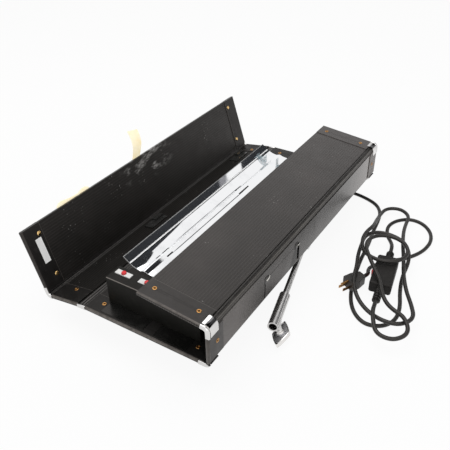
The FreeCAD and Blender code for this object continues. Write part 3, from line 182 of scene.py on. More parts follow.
def bumped(tree, shader, height, strength, distance):
    """Give a shader the relief of a height."""
    bump = add(tree, "ShaderNodeBump", {"Height": height, "Strength": strength, "Distance": distance})
    drive(shader, Normal=bump.outputs[0])


def paint(material, *names):
    """Give CAD nodes a finish."""
    for name in names:
        nodes[name].data.materials.clear()
        nodes[name].data.materials.append(material)


def across(node, joint):
    """Direction across a panel, from its fold to its free edge."""
    low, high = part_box(node)
    away = (low + high) / 2 - Vector(joints[joint]["pos_m"])
    away.y = 0
    return away.normalized()


def along(tree, direction):
    """Distance of a point of the surface along a direction."""
    dot = add(tree, "ShaderNodeVectorMath", {0: place(tree), 1: direction}, operation="DOT_PRODUCT")
    return dot.outputs["Value"]


def ramp(tree, value, stops):
    """Number that follows a list of places, each with its height."""
    node = add(tree, "ShaderNodeValToRGB", {0: value})
    steps = node.color_ramp.elements
    while len(steps) < len(stops):
        steps.new(1.0)
    for step, (place_on, height) in zip(steps, stops):
        step.position = place_on
        step.color = (height, height, height, 1)
    return node.outputs[0]


def fluted_sheet(name, direction, dust, show, gloss):
    """Black sheet with rib lines square to a direction, dulled by dust and specks."""
    material, tree, shader = new_finish(name, Specular_IOR_Level=gloss, Specular_Tint=WARM_GLOSS)
    turns = times(tree, along(tree, direction), 2 * math.pi / FLUTE_PITCH)
    ribs = math_node(tree, "POWER", ranged(tree, math_node(tree, "SINE", turns), -1, 1, 0, 1), 3)
    clouds = ranged(tree, grain(tree, 9, 6), 0.42, 0.75, 0, dust)
    scratches = ranged(tree, grain(tree, 260, 3, (1, 0.05, 1)), 0.66, 0.74, 0, 0.35)
    dulled = highest(tree, clouds, scratches)
    dusty = mixed(tree, dulled, SHEET_BLACK, SHEET_DUST)
    lined = mixed(tree, times(tree, ribs, show), dusty, SHEET_RIB)
    patches = ranged(tree, grain(tree, 16, 2), 0.58, 0.66, 0, 0.6)
    specks = times(tree, ranged(tree, grain(tree, 260, 0), 0.77, 0.8, 0, 1), patches)
    rough = ranged(tree, grain(tree, 35, 4), 0.3, 0.7, 0.36, 0.5)
    drive(shader, Base_Color=mixed(tree, specks, lined, CHALK), Roughness=rough)
    fine = times(tree, grain(tree, 900, 2), 0.25)
    bumped(tree, shader, math_node(tree, "ADD", ribs, fine), 0.5, 0.0004)
    return material, tree, shader


def side_sheet(name, direction):
    """Sheet of the right wall, matt at the near end and glossy at the far one, with a painted sheen that
    makes it paler at both ends.
    """
    material, tree, shader = fluted_sheet(name, direction, dust=0.5, show=0.12, gloss=SIDE_GLOSS)
    tree.nodes["Bump"].inputs["Strength"].default_value = SIDE_RELIEF
    low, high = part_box("right_wall_panel")
    share = ranged(tree, along(tree, LENGTHWISE), low.y, high.y, 0, 1)
    even = ranged(tree, share, 0, 1, 0.55, 0.12)
    uneven = ranged(tree, grain(tree, 25, 2), 0.3, 0.7, -0.03, 0.03)
    drive(shader, Roughness=math_node(tree, "ADD", even, uneven))
    # Painted sheen: paler at the near end and at the far end, standing in for reflected light.
    overlay(shader, ramp(tree, share, SIDE_SHEEN_STOPS), SIDE_SHEEN)
    return material, tree, shader


def paint_far_sheen(tree, shader, most, pale):
    """Paint a sheen that makes a finish a little paler the farther it is from the near end."""
    low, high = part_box("right_door_panel")
    overlay(shader, ranged(tree, along(tree, LENGTHWISE), low.y, high.y, 0, most), pale)


def loose_sheet():
    """Side sheet, with painted shade along the open gap at its near edge and over its far end."""
    material, tree, shader = side_sheet("side_panel_sheet", RIGHT_WALL)
    low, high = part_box("side_panel")
    gap = ranged(tree, along(tree, LENGTHWISE), low.y + SIDE_GAP * EDGE_FULL, low.y + SIDE_GAP, 1, 0)
    slanted = along(tree, LENGTHWISE - UPWARDS * SIDE_SLANT)
    start = high.y - SIDE_FAR_SHADE - SIDE_SLANT * high.z
    far_shade = ranged(tree, slanted, start, start + SIDE_FAR_SHADE_SOFT, 0, 0.6)
    dark = highest(tree, gap, far_shade)
    # Painted shade in the gap and over the far end, with the gloss taken away there.
    overlay(shader, dark, GAP_SHADE)
    drive(shader, Specular_IOR_Level=ranged(tree, dark, 0, 1, SIDE_GLOSS, 0))
    return material


def chalked(name, direction, dust, middle, size):
    """Fluted sheet with a chalky scuff round a place, broken up by noise."""
    material, tree, shader = fluted_sheet(name, direction, dust, show=0.25, gloss=0.34)
    inputs = {"Vector": place(tree), "Location": middle, "Scale": size}
    mapped = add(tree, "ShaderNodeMapping", inputs, vector_type="TEXTURE")
    ball = add(tree, "ShaderNodeTexGradient", {0: mapped.outputs[0]}, gradient_type="SPHERICAL")
    near = ranged(tree, ball.outputs["Fac"], 0, 0.5, 0, 1)
    smears = ranged(tree, grain(tree, 45, 9, (1, 0.5, 1.3)), 0.5, 0.62, 0, 1)
    streaks = ranged(tree, grain(tree, 240, 5, (1, 0.4, 1)), 0.4, 0.58, 0.15, 1)
    scuff = times(tree, times(tree, near, smears), streaks)
    overlay(shader, scuff, CHALK)
    return material


def soften(width, *names):
    """Break the sharp edges of CAD nodes, without touching their meshes."""
    for name in names:
        weld = nodes[name].modifiers.new("weld", "WELD")
        weld.merge_threshold = SAME_POINT
        bevel = nodes[name].modifiers.new("bevel", "BEVEL")
        bevel.width = width
        bevel.segments = 2
        bevel.limit_method = "ANGLE"
        bevel.angle_limit = math.radians(SOFTEN_ANGLE)
        bevel.harden_normals = True


LEFT_WALL = across("left_wall_panel", "left_wall_fold_hinge")
LEFT_DOOR = across("left_door_panel", "left_door_fold_hinge")
RIGHT_WALL = across("right_wall_panel", "right_wall_fold_hinge")
RIGHT_DOOR = across("right_door_panel", "right_door_fold_hinge")
paint(fluted_sheet("back_sheet", SIDEWAYS, dust=0.2, show=0.1, gloss=0.2)[0], "back_panel")
left_sheet = fluted_sheet("left_wall_sheet", LEFT_WALL, dust=0.05, show=0.08, gloss=0.12)[0]
paint(left_sheet, "left_wall_panel")
paint(side_sheet("right_wall_sheet", RIGHT_WALL)[0], "right_wall_panel")
paint(loose_sheet(), "side_panel")
top_sheet, tree, shader = fluted_sheet("right_door_sheet", RIGHT_DOOR, dust=0.7, show=0.3, gloss=0.34)
# Painted sheen: the right door's sheet grows paler towards its far end.
paint_far_sheen(tree, shader, 0.45, FAR_SHEEN)
paint(top_sheet, "right_door_panel")
paint(chalked("left_door_sheet", LEFT_DOOR, 0.2, SCUFF_MIDDLE, SCUFF_SIZE), "left_door_panel")

# End channels: extruded U strips of black plastic, pushed over the ends of every sheet.
# Their round noses carry painted highlight lines over painted shade, and a painted highlight line runs along
# each mouth.
CHANNEL_BLACK = (0.011, 0.0103, 0.0098, 1)
CHANNEL_WORN = (0.035, 0.032, 0.031, 1)
CHANNEL_THICK = 0.009
# Painted highlight for the channel noses and the cover's front edge, and painted shade for the noses.
PAINTED_HIGHLIGHT = (0.2, 0.18, 0.165, 1)
PAINTED_NOSE_SHADE = (0.006, 0.0055, 0.005, 1)
NOSE = 0.0045
CHANNEL_REACH = 0.046
CHANNEL_LIP = 0.0009
CELL_PITCH = 0.0046
CHANNEL_SOFT = 0.0004


def moulded_plastic(name, dark, worn, roughness, relief):
    """Moulded plastic with fine grain and a little wear."""
    material, tree, shader = new_finish(name, Specular_IOR_Level=0.45, Specular_Tint=WARM_GLOSS)
    wear = ranged(tree, grain(tree, 60, 6), 0.55, 0.8, 0, 0.6)
    rough = ranged(tree, grain(tree, 45, 3), 0.3, 0.7, roughness - 0.06, roughness + 0.08)
    drive(shader, Base_Color=mixed(tree, wear, dark, worn), Roughness=rough)
    bumped(tree, shader, grain(tree, 1100, 2), relief, 0.0002)
    return material


def channel_finish(node, inward, stops, gloss):
    """Black plastic with painted highlight bands and painted shade on its nose, from its outer face to its
    inner one, and a painted highlight line at its mouth.
    """
    material = moulded_plastic(node + "_black", CHANNEL_BLACK, CHANNEL_WORN, 0.4, 0.15)
    tree, shader = tree_and_shader(material)
    shader.inputs["Specular IOR Level"].default_value = gloss
    low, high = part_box(node)
    middle = (low + high).dot(inward) / 2
    half = CHANNEL_THICK / 2
    share = ranged(tree, along(tree, inward), middle - half, middle + half, 0, 1)
    from_middle = math_node(tree, "ABSOLUTE", along(tree, LENGTHWISE))
    nose = ranged(tree, from_middle, high.y - NOSE, high.y - NOSE * EDGE_FULL, 0, 1)
    patchy = ranged(tree, grain(tree, 120, 5), 0.3, 0.65, 0.5, 1)
    worn = times(tree, ramp(tree, share, stops), patchy)
    if stops is TWO_LINES:
        turns = times(tree, along(tree, SIDEWAYS), 2 * math.pi / CELL_PITCH)
        dots = ranged(tree, math_node(tree, "SINE", turns), 0.1, 0.5, 0, 0.3)
        worn = highest(tree, worn, times(tree, dots, ramp(tree, share, BETWEEN_LINES)))
    # Painted highlight bands over painted shade on the round nose.
    overlay(shader, nose, mixed(tree, worn, PAINTED_NOSE_SHADE, PAINTED_HIGHLIGHT))
    mouth = high.y - CHANNEL_REACH
    lip = ranged(tree, from_middle, mouth + CHANNEL_LIP * EDGE_FULL, mouth + CHANNEL_LIP, 0.45, 0)
    # Painted highlight line along the channel's mouth.
    overlay(shader, lip, PAINTED_HIGHLIGHT)
    return material


def inner_side(side, way):
    """Direction from the outer face of a panel to its inner one."""
    return side * way.cross(LENGTHWISE)


# Stops of painted highlight across a nose, from its outer face to its inner one.
INNER_LINE = [(0.0, 0.12), (0.5, 0.12), (0.6, 0.9), (0.9, 0.8), (1.0, 0.4)]
TWO_LINES = [(0.0, 0.4), (0.05, 0.7), (0.2, 0.75), (0.27, 0.05), (0.66, 0.05), (0.72, 1.0), (1.0, 1.0)]
BETWEEN_LINES = [(0.3, 0), (0.36, 1), (0.62, 1), (0.68, 0)]
DULL_NOSE = [(0.0, 0.3), (0.3, 0.12), (1.0, 0.18)]
SIDE_NOSE = [(0.0, 0.3), (0.5, 0.4), (0.75, 0.6), (0.9, 0.2), (1.0, 0.1)]
CHANNEL_ENDS = {
    "back_end_channels": (UPWARDS, INNER_LINE, 0.2, None),
    "left_wall_end_channels": (inner_side(-1, LEFT_WALL), INNER_LINE, 0.12, None),
    "left_door_end_channels": (inner_side(-1, LEFT_DOOR), DULL_NOSE, 0.3, None),
    "right_wall_end_channels": (inner_side(1, RIGHT_WALL), SIDE_NOSE, 0.45, (0.8, SIDE_SHEEN)),
    "right_door_end_channels": (inner_side(1, RIGHT_DOOR), TWO_LINES, 0.34, (0.6, FAR_SHEEN)),
}
for node, (inward, stops, gloss, far_sheen) in CHANNEL_ENDS.items():
    material = channel_finish(node, inward, stops, gloss)
    # Painted sheen: the right-hand channels grow paler towards their far end.
    if far_sheen:
        paint_far_sheen(*tree_and_shader(material), *far_sheen)
    paint(material, node)
    soften(CHANNEL_SOFT, node)

# Folds: flexible strips with moulded grooves, which let the walls and doors hinge.
# Each strip bends between the two panels that it joins, and the right-hand strips carry painted highlights
# along their ridges and outer side.
FOLD_REACH = 0.0094
FOLD_LEAN = 0.69
FOLD_DEPTH = 0.0004
FOLD_THICK = 0.004
FOLD_GROOVES = 3
FOLD_GROOVE = 0.0007
FOLD_STEPS = 36
FOLD_BLACK = (0.011, 0.0105, 0.01, 1)
FOLD_WORN = (0.04, 0.038, 0.036, 1)
# Painted highlight of the folds, and stops that place it across each fold.
FOLD_HIGHLIGHT = (0.16, 0.15, 0.135, 1)
PLAIN_FOLD = [(0.0, 0.0), (1.0, 0.0)]
LIT_CORNER_FOLD = [(0.0, 0.0), (0.5, 0.1), (0.65, 0.6), (1.0, 0.6)]
HIGHLIT_FOLD = [
    (0.0, 0.3),
    (0.1, 0.05),
    (0.16, 0.35),
    (0.34, 0.3),
    (0.4, 0.08),
    (0.47, 1.0),
    (0.54, 0.05),
    (1.0, 0.0),
]
FOLDS = {
    "left_wall": (-1, -SIDEWAYS, LEFT_WALL, PLAIN_FOLD),
    "left_door": (-1, LEFT_WALL, LEFT_DOOR, PLAIN_FOLD),
    "right_wall": (1, SIDEWAYS, RIGHT_WALL, LIT_CORNER_FOLD),
    "right_door": (1, RIGHT_WALL, RIGHT_DOOR, HIGHLIT_FOLD),
}


def fold_line(name, more=(0, 0)):
    """Points across a fold at rest, each with its inward direction; more reaches past its two ends."""
    side, before, after, wear = FOLDS[name]
    pivot = Vector(joints[name + "_fold_hinge"]["pos_m"])
    start = pivot - before * FOLD_REACH + inner_side(side, before) * FOLD_DEPTH
    end = pivot + after * FOLD_REACH + inner_side(side, after) * FOLD_DEPTH
    lean = FOLD_LEAN * FOLD_REACH
    points = geometry.interpolate_bezier(start, start + before * lean, end - after * lean, end, FOLD_STEPS)
    rows = []
    for i, point in enumerate(points):
        near = points[max(i - 1, 0)]
        far = points[min(i + 1, FOLD_STEPS - 1)]
        rows.append((point, inner_side(side, (far - near).normalized())))
    if more[0]:
        rows.insert(0, (start - before * more[0], inner_side(side, before)))
    if more[1]:
        rows.append((end + after * more[1], inner_side(side, after)))
    return rows


def share_across(tree):
    """Share of the way across a fold, as it is noted on the mesh."""
    return add(tree, "ShaderNodeAttribute", attribute_name="across").outputs["Fac"]


def fold_finish(name):
    """Black strip, with painted highlight lines across it, broken up by noise."""
    material = moulded_plastic(name + "_fold_black", FOLD_BLACK, FOLD_WORN, 0.34, 0.1)
    tree, shader = tree_and_shader(material)
    patchy = ranged(tree, grain(tree, 60, 4, (1, 0.2, 1)), 0.3, 0.65, 0.6, 1)
    # Painted highlight along the ridges and outer side of the right-hand folds.
    overlay(shader, times(tree, ramp(tree, share_across(tree), FOLDS[name][3]), patchy), FOLD_HIGHLIGHT)
    return material


def mark_across(piece, rows):
    """Note on every point of a strip how far across the fold it lies."""
    values = []
    for vert in piece.data.vertices:
        flat = Vector((vert.co.x, 0, vert.co.z))
        gaps = [(flat - Vector((point.x, 0, point.z))).length for point, inward in rows]
        values.append(gaps.index(min(gaps)) / (len(rows) - 1))
    piece.data.attributes.new("across", "FLOAT", "POINT").data.foreach_set("value", values)


def new_object(name, data):
    """New object in the scene, at the origin."""
    piece = bpy.data.objects.new(name, data)
    bpy.context.scene.collection.objects.link(piece)
    return piece


def piece_from(name, mesh_maker, material):
    """New object from a bmesh that a function fills, with its faces turned outwards."""
    mesh = bpy.data.meshes.new(name)
    shape = bmesh.new()
    mesh_maker(shape)
    bmesh.ops.remove_doubles(shape, verts=shape.verts, dist=SAME_POINT)
    bmesh.ops.recalc_face_normals(shape, faces=shape.faces)
    shape.to_mesh(mesh)
    shape.free()
    mesh.materials.append(material)
    return new_object(name, mesh)


def skin(shape, loops):
    """Closed skin over a row of closed loops of points, capped at both ends."""
    rings = [[shape.verts.new(point) for point in loop] for loop in loops]
    count = len(rings[0])
    for one, two in zip(rings, rings[1:]):
        for i in range(count):
            j = (i + 1) % count
            shape.faces.new((one[i], one[j], two[j], two[i]))
    shape.faces.new(rings[0])
    shape.faces.new(rings[-1])


def smooth(piece, angle):
    """Shade a piece smooth, apart from edges sharper than an angle in degrees."""
    piece.data.shade_smooth()
    piece.data.set_sharp_from_angle(angle=math.radians(angle))


def strip_loop(rows, y, halves_of):
    """Closed loop round a fold's section at one place along the light."""
    outer = []
    inner = []
    for i, (point, inward) in enumerate(rows):
        out_half, in_half = halves_of(i / (len(rows) - 1))
        outer.append(point - inward * out_half + LENGTHWISE * y)
        inner.append(point + inward * in_half + LENGTHWISE * y)
    return outer + inner[::-1]


def grooved(share):
    """Outer and inner half thickness of a fold strip, a share of the way across it."""
    dip = 0.5 + 0.5 * math.cos(2 * math.pi * FOLD_GROOVES * share)
    half = FOLD_THICK / 2 - FOLD_GROOVE * dip
    return half, half


def bend_with_fold(piece, name, node):
    """Put a piece in place of a fold's CAD node, which it hides, and bake its place into its mesh."""
    rows = fold_line(name)
    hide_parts(node)
    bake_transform(piece)


for name in FOLDS:
    rows = fold_line(name)
    low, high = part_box(name + "_fold")
    loops = [strip_loop(rows, y, grooved) for y in (low.y, high.y)]
    strip = piece_from(name + "_fold_strip", lambda shape: skin(shape, loops), fold_finish(name))
    mark_across(strip, rows)
    smooth(strip, 40)
    bend_with_fold(strip, name, name + "_fold")

# Fold clips: bright plated caps, crimped round the outside of both ends of every fold.
# Each has a thick rolled bead over the fold's end, a groove behind it, and follows the curve of the fold
# under it.
# The right door's caps carry a painted dark reflection on top.
CLIP_BEAD = 0.0056
CLIP_BEAD_LENGTH = 0.0054
CLIP_BEAD_STEPS = 8
CLIP_BEAD_FOOT = 0.45
CLIP_GROOVE = 0.003
CLIP_OUT = 0.005
CLIP_IN = 0.0038
CLIP_LIP = 0.0066
CLIP_LENGTH = 0.03
CLIP_HIDDEN = 0.0008
CLIP_EDGE = 0.001
CLIP_WRAPS = {
    "left_wall": (0, 0),
    "left_door": (0, 0.011),
    "right_wall": (0.011, 0),
    "right_door": (0.01, 0.004),
}
CLIP_COVERS = {"right_wall": 0.7}
# Painted dark reflection across the top of the right door's clip caps.
CLIP_REFLECTED_DARK = (0.02, 0.02, 0.022, 1)
CLIP_DARK_REFLECTION = {"right_door": [(0.0, 0.0), (0.42, 0.05), (0.5, 1.0), (0.86, 0.9), (0.93, 0.1), (1.0, 0.1)]}
CHROME = (0.72, 0.71, 0.7, 1)
CHROME_DULL = (0.5, 0.49, 0.48, 1)


def plated_metal(name, bright, dull, roughness, stretch, relief):
    """Bright plate with a veil of fine scratches."""
    material, tree, shader = new_finish(name, Metallic=1.0)
    haze = ranged(tree, grain(tree, 30, 5), 0.45, 0.8, 0, 0.7)
    scratch = grain(tree, 500, 4, stretch)
    rough = ranged(tree, scratch, 0.4, 0.75, roughness, roughness + 0.08)
    drive(shader, Base_Color=mixed(tree, haze, bright, dull), Roughness=rough)
    bumped(tree, shader, scratch, relief, 0.0001)
    return material


def smooth_plate(name, bright, dull, roughness):
    """Plain bright plate, with broad dull patches only."""
    material, tree, shader = new_finish(name, Metallic=1.0)
    haze = ranged(tree, grain(tree, 14, 2), 0.45, 0.75, 0, 0.6)
    rough = ranged(tree, haze, 0, 0.6, roughness, roughness + 0.05)
    drive(shader, Base_Color=mixed(tree, haze, bright, dull), Roughness=rough)
    return material


def clip_finish(name):
    """Bright plate, with a painted dark reflection over a part of the cap but not on its bead."""
    material = smooth_plate(name + "_clip_chrome", CHROME, CHROME_DULL, 0.08)
    if name in CLIP_DARK_REFLECTION:
        tree, shader = tree_and_shader(material)
        from_middle = math_node(tree, "ABSOLUTE", along(tree, LENGTHWISE))
        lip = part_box(name + "_fold_clips")[1].y - CLIP_LIP
        on_cap = ranged(tree, from_middle, lip - CLIP_EDGE / 2, lip, 1, 0)
        # Painted dark reflection over the cap.
        overlay(shader, times(tree, ramp(tree, share_across(tree), CLIP_DARK_REFLECTION[name]), on_cap), CLIP_REFLECTED_DARK)
    return material


def clip_profile():
    """Distance from the fold's end, with the clip's outer and inner half thickness there."""
    profile = []
    for step in range(CLIP_BEAD_STEPS + 1):
        turn = math.pi * step / CLIP_BEAD_STEPS
        reach = CLIP_BEAD_LENGTH * (0.5 - 0.5 * math.cos(turn))
        swell = CLIP_BEAD_FOOT + (1 - CLIP_BEAD_FOOT) * math.sin(turn)
        profile.append((reach, CLIP_BEAD * swell, CLIP_IN * swell))
    profile[-1] = (CLIP_BEAD_LENGTH, CLIP_GROOVE, CLIP_HIDDEN)
    profile.append((CLIP_LIP - CLIP_EDGE / 2, CLIP_GROOVE, CLIP_HIDDEN))
    profile.append((CLIP_LIP, CLIP_OUT, CLIP_HIDDEN))
    profile.append((CLIP_LENGTH - 2 * CLIP_EDGE, CLIP_OUT, CLIP_HIDDEN))
    profile.append((CLIP_LENGTH - CLIP_EDGE, CLIP_OUT + CLIP_EDGE / 3, CLIP_HIDDEN))
    profile.append((CLIP_LENGTH, CLIP_OUT, CLIP_HIDDEN))
    return profile


def clip_loops(name, end):
    """Loops of a clip over one end of a fold, from its bead to its far edge."""
    rows = fold_line(name, CLIP_WRAPS[name])
    rows = rows[:round(len(rows) * CLIP_COVERS.get(name, 1))]
    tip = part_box(name + "_fold_clips")[0 if end < 0 else 1].y
    loops = []
    for reach, out, into in clip_profile():
        loops.append(strip_loop(rows, tip - end * reach, lambda share: (out, into)))
    return loops


def clip_pair(shape, name):
    """Clip over each end of a fold."""
    for end in (-1, 1):
        skin(shape, clip_loops(name, end))


for name in FOLDS:
    clips = piece_from(name + "_clips", lambda shape: clip_pair(shape, name), clip_finish(name))
    mark_across(clips, fold_line(name, CLIP_WRAPS[name]))
    smooth(clips, 50)
    bend_with_fold(clips, name, name + "_fold_clips")

# Eyelets: brass tubes rolled over at both faces of an end channel, with an open bore.
# Those of the left door are solid rivets with domed heads.
BRASS = (0.4, 0.22, 0.08, 1)
BRASS_DULL = (0.24, 0.1, 0.03, 1)
BRASS_BRIGHT = (0.85, 0.6, 0.26, 1)
ROUND_STEPS = 28
DOME_STEPS = 14
ROLL_STEPS = 12
ROLL_FLAT = 0.5
DOME_FLAT = 0.38
RING_SIZES = {"Ring": 0.0032, "Roll": 0.0015, "Grip": CHANNEL_THICK}
RIVET_SIZES = {"Head": 0.0048, "Grip": CHANNEL_THICK}


def tarnished_brass(name, clean):
    """Brass, browned in patches."""
    material, tree, shader = new_finish(name, Metallic=1.0)
    stain = ranged(tree, grain(tree, 350, 5), 0.4, 0.7, 0, 0.8)
    rough = ranged(tree, stain, 0, 1, 0.2, 0.5)
    drive(shader, Base_Color=mixed(tree, stain, clean, BRASS_DULL), Roughness=rough)
    return material


brass = tarnished_brass("tarnished_brass", BRASS)
bright_brass = tarnished_brass("bright_brass", BRASS_BRIGHT)


def islands(node):
    """Middle of each separate solid in a CAD node."""
    shape = bmesh.new()
    shape.from_mesh(nodes[node].data)
    bmesh.ops.remove_doubles(shape, verts=shape.verts, dist=SAME_POINT)
    left = set(shape.verts)
    middles = []
    while left:
        found = {left.pop()}
        edge = list(found)
        while edge:
            for link in edge.pop().link_edges:
                for vert in link.verts:
                    if vert not in found:
                        found.add(vert)
                        edge.append(vert)
        left -= found
        low = Vector(min(v.co[i] for v in found) for i in range(3))
        high = Vector(max(v.co[i] for v in found) for i in range(3))
        middles.append((low + high) / 2)
    shape.free()
    return sorted(middles, key=lambda middle: tuple(middle))


def new_tree(name, sizes):
    """New geometry node tree with named inputs for sizes; returns it with its two ends."""
    tree = bpy.data.node_groups.new(name, "GeometryNodeTree")
    tree.interface.new_socket("Geometry", in_out="INPUT", socket_type="NodeSocketGeometry")
    for size in sizes:
        tree.interface.new_socket(size, in_out="INPUT", socket_type="NodeSocketFloat")
    tree.interface.new_socket("Material", in_out="INPUT", socket_type="NodeSocketMaterial")
    tree.interface.new_socket("Geometry", in_out="OUTPUT", socket_type="NodeSocketGeometry")
    return tree, tree.nodes.new("NodeGroupInput").outputs, tree.nodes.new("NodeGroupOutput").inputs


def on_both_faces(tree, shape, grip, flat):
    """A shape flattened along Z, once on each face of a channel."""
    half = times(tree, grip, 0.5)
    faces = []
    for height in (half, times(tree, half, -1.0)):
        lift = add(tree, "ShaderNodeCombineXYZ", {"Z": height}).outputs[0]
        inputs = {"Geometry": shape, "Translation": lift, "Scale": (1, 1, flat)}
        faces.append(add(tree, "GeometryNodeTransform", inputs).outputs[0])
    return faces


def repeat(tree, parts, sizes, ends):
    """End a tree: its parts at every point, turned about Y, made real and given their finish."""
    whole = add(tree, "GeometryNodeJoinGeometry")
    for part in parts:
        tree.links.new(part, whole.inputs[0])
    shaded = add(tree, "GeometryNodeSetShadeSmooth", {"Geometry": whole.outputs[0]}).outputs[0]
    points = add(tree, "GeometryNodeMeshToPoints", {"Mesh": sizes["Geometry"]}).outputs[0]
    turn = add(tree, "ShaderNodeCombineXYZ", {"Y": sizes["Tilt"]}).outputs[0]
    inputs = {"Points": points, "Instance": shaded, "Rotation": turn}
    placed = add(tree, "GeometryNodeInstanceOnPoints", inputs).outputs[0]
    real = add(tree, "GeometryNodeRealizeInstances", {0: placed}).outputs[0]
    finished = add(tree, "GeometryNodeSetMaterial", {"Geometry": real, "Material": sizes["Material"]})
    tree.links.new(finished.outputs[0], ends["Geometry"])


def eyelet_tree():
    """Rolled rings on both faces, joined by a bore that is seen from inside."""
    tree, sizes, ends = new_tree("eyelets", ("Ring", "Roll", "Grip", "Tilt"))
    circles = {}
    for size, steps in (("Ring", ROUND_STEPS), ("Roll", ROLL_STEPS)):
        inputs = {"Resolution": steps, "Radius": sizes[size]}
        circles[size] = add(tree, "GeometryNodeCurvePrimitiveCircle", inputs).outputs[0]
    inputs = {"Curve": circles["Ring"], "Profile Curve": circles["Roll"]}
    torus = add(tree, "GeometryNodeCurveToMesh", inputs).outputs[0]
    bore = math_node(tree, "SUBTRACT", sizes["Ring"], sizes["Roll"])
    inputs = {"Vertices": ROUND_STEPS, "Radius": bore, "Depth": sizes["Grip"]}
    tube = add(tree, "GeometryNodeMeshCylinder", inputs, fill_type="NONE").outputs["Mesh"]
    inside = add(tree, "GeometryNodeFlipFaces", {"Mesh": tube}).outputs[0]
    repeat(tree, on_both_faces(tree, torus, sizes["Grip"], ROLL_FLAT) + [inside], sizes, ends)
    return tree


def rivet_tree():
    """Domed heads on both faces of the channel."""
    tree, sizes, ends = new_tree("rivets", ("Head", "Grip", "Tilt"))
    inputs = {"Segments": ROUND_STEPS, "Rings": DOME_STEPS, "Radius": sizes["Head"]}
    ball = add(tree, "GeometryNodeMeshUVSphere", inputs).outputs["Mesh"]
    repeat(tree, on_both_faces(tree, ball, sizes["Grip"], DOME_FLAT), sizes, ends)
    return tree


def grown(name, tree, points, sizes, material):
    """Plain mesh of what a tree makes at a set of points."""
    seed = bpy.data.meshes.new(name + "_points")
    seed.from_pydata(points, [], [])
    piece = new_object(name, seed)
    modifier = piece.modifiers.new("repeat", "NODES")
    modifier.node_group = tree
    sockets = {s.name: s.identifier for s in tree.interface.items_tree if s.in_out == "INPUT"}
    for size, value in sizes.items():
        modifier[sockets[size]] = value
    modifier[sockets["Material"]] = material
    seen = piece.evaluated_get(bpy.context.evaluated_depsgraph_get())
    mesh = bpy.data.meshes.new_from_object(seen)
    piece.modifiers.remove(modifier)
    piece.data = mesh
    bpy.data.meshes.remove(seed)
    return piece


def body_of(node):
    """Name of the body that carries a CAD node."""
    return nodes[node]["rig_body"]


def tilt_of(direction):
    """Turn about Y that takes the X axis onto a direction in the XZ plane."""
    return math.atan2(-direction.z, direction.x)


eyelets = eyelet_tree()
rivets = rivet_tree()
EYELET_ROWS = {
    "back_eyelets": (eyelets, RING_SIZES, SIDEWAYS, brass),
    "left_wall_eyelets": (eyelets, RING_SIZES, LEFT_WALL, brass),
    "right_wall_eyelets": (eyelets, RING_SIZES, RIGHT_WALL, brass),
    "right_door_eyelets": (eyelets, RING_SIZES, RIGHT_DOOR, brass),
    "left_door_eyelets": (rivets, RIVET_SIZES, LEFT_DOOR, bright_brass),
}
for node, (tree, sizes, direction, finish) in EYELET_ROWS.items():
    row = grown(node + "_brass", tree, islands(node), {**sizes, "Tilt": tilt_of(direction)}, finish)
    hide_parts(node)
    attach(row, body_of(node))

# Label, plates and catches: a bare white paper label stuck on the left door,
# two dark plastic plates on the back panel, and two moulded black catches on the left wall.
CATCH_SOFT = 0.0006
paper_white = moulded_plastic("paper_white", (0.95, 0.95, 0.94, 1), (0.75, 0.75, 0.74, 1), 0.5, 0.05)
plate_black = moulded_plastic("plate_black", (0.007, 0.007, 0.0066, 1), (0.02, 0.02, 0.018, 1), 0.2, 0.08)
catch_black = moulded_plastic("catch_black", (0.022, 0.022, 0.021, 1), (0.06, 0.06, 0.06, 1), 0.16, 0.1)
paint(paper_white, "door_label")
paint(plate_black, "back_plates")
paint(catch_black, "wall_catches")
soften(CATCH_SOFT, "wall_catches")

# Side panel clips: two spring leaves that hold the loose panel in the right wall.
# Each is bent from bright plated strip, bowed away from the wall and pressed flat at its two ends.
LEAF_LENGTH = 0.0135
LEAF_WIDTH = 0.0032
LEAF_THICK = 0.0007
LEAF_BOW = 0.0012
LEAF_STEPS = 10
LEAF_LIFT = 0.0012
LEAF_CROWN = 0.8
LEAF_LEANS = (0.3, 0.0)
LEAF_SHIFT = Vector((0, 0.005, 0.001))


def leaf_loops(middle, lean):
    """Flat sections of a bowed leaf on the wall's outer face, from its near end to its far one."""
    way = Vector((0, math.cos(lean), math.sin(lean)))
    wide = Vector((0, -math.sin(lean), math.cos(lean))) * LEAF_WIDTH / 2
    loops = []
    for step in range(LEAF_STEPS + 1):
        share = step / LEAF_STEPS - 0.5
        outer = middle + way * LEAF_LENGTH * share
        outer += SIDEWAYS * (LEAF_LIFT + LEAF_BOW * math.cos(math.pi * share))
        inner = outer - SIDEWAYS * LEAF_THICK
        loops.append([inner - wide, outer - wide * LEAF_CROWN, outer + wide * LEAF_CROWN, inner + wide])
    return loops


def both_leaves(shape):
    """Leaf over each clip's own place on the seam."""
    for middle, lean in zip(islands("side_clips"), LEAF_LEANS):
        skin(shape, leaf_loops(middle + LEAF_SHIFT, lean))


leaf_steel = plated_metal("leaf_steel", (0.62, 0.6, 0.55, 1), (0.3, 0.29, 0.27, 1), 0.2, (1, 1, 1), 0.02)
leaves = piece_from("side_clip_leaves", both_leaves, leaf_steel)
smooth(leaves, 40)
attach(leaves, body_of("side_clips"))
paint(plate_black, "side_clips")

# Reflector: mirror-bright aluminium sheet, folded into troughs, with narrow slots in its floor.
# Its bends and cut edges are burnished satin, painted dark reflections lie at the feet of its ridges and in
# lines on its floor, and it stands on brackets.
MIRROR = (0.89, 0.895, 0.905, 1)
MIRROR_DULL = (0.76, 0.765, 0.78, 1)
BURNISHED = (0.9, 0.9, 0.9, 1)
RAW_EDGE = (0.34, 0.34, 0.34, 1)
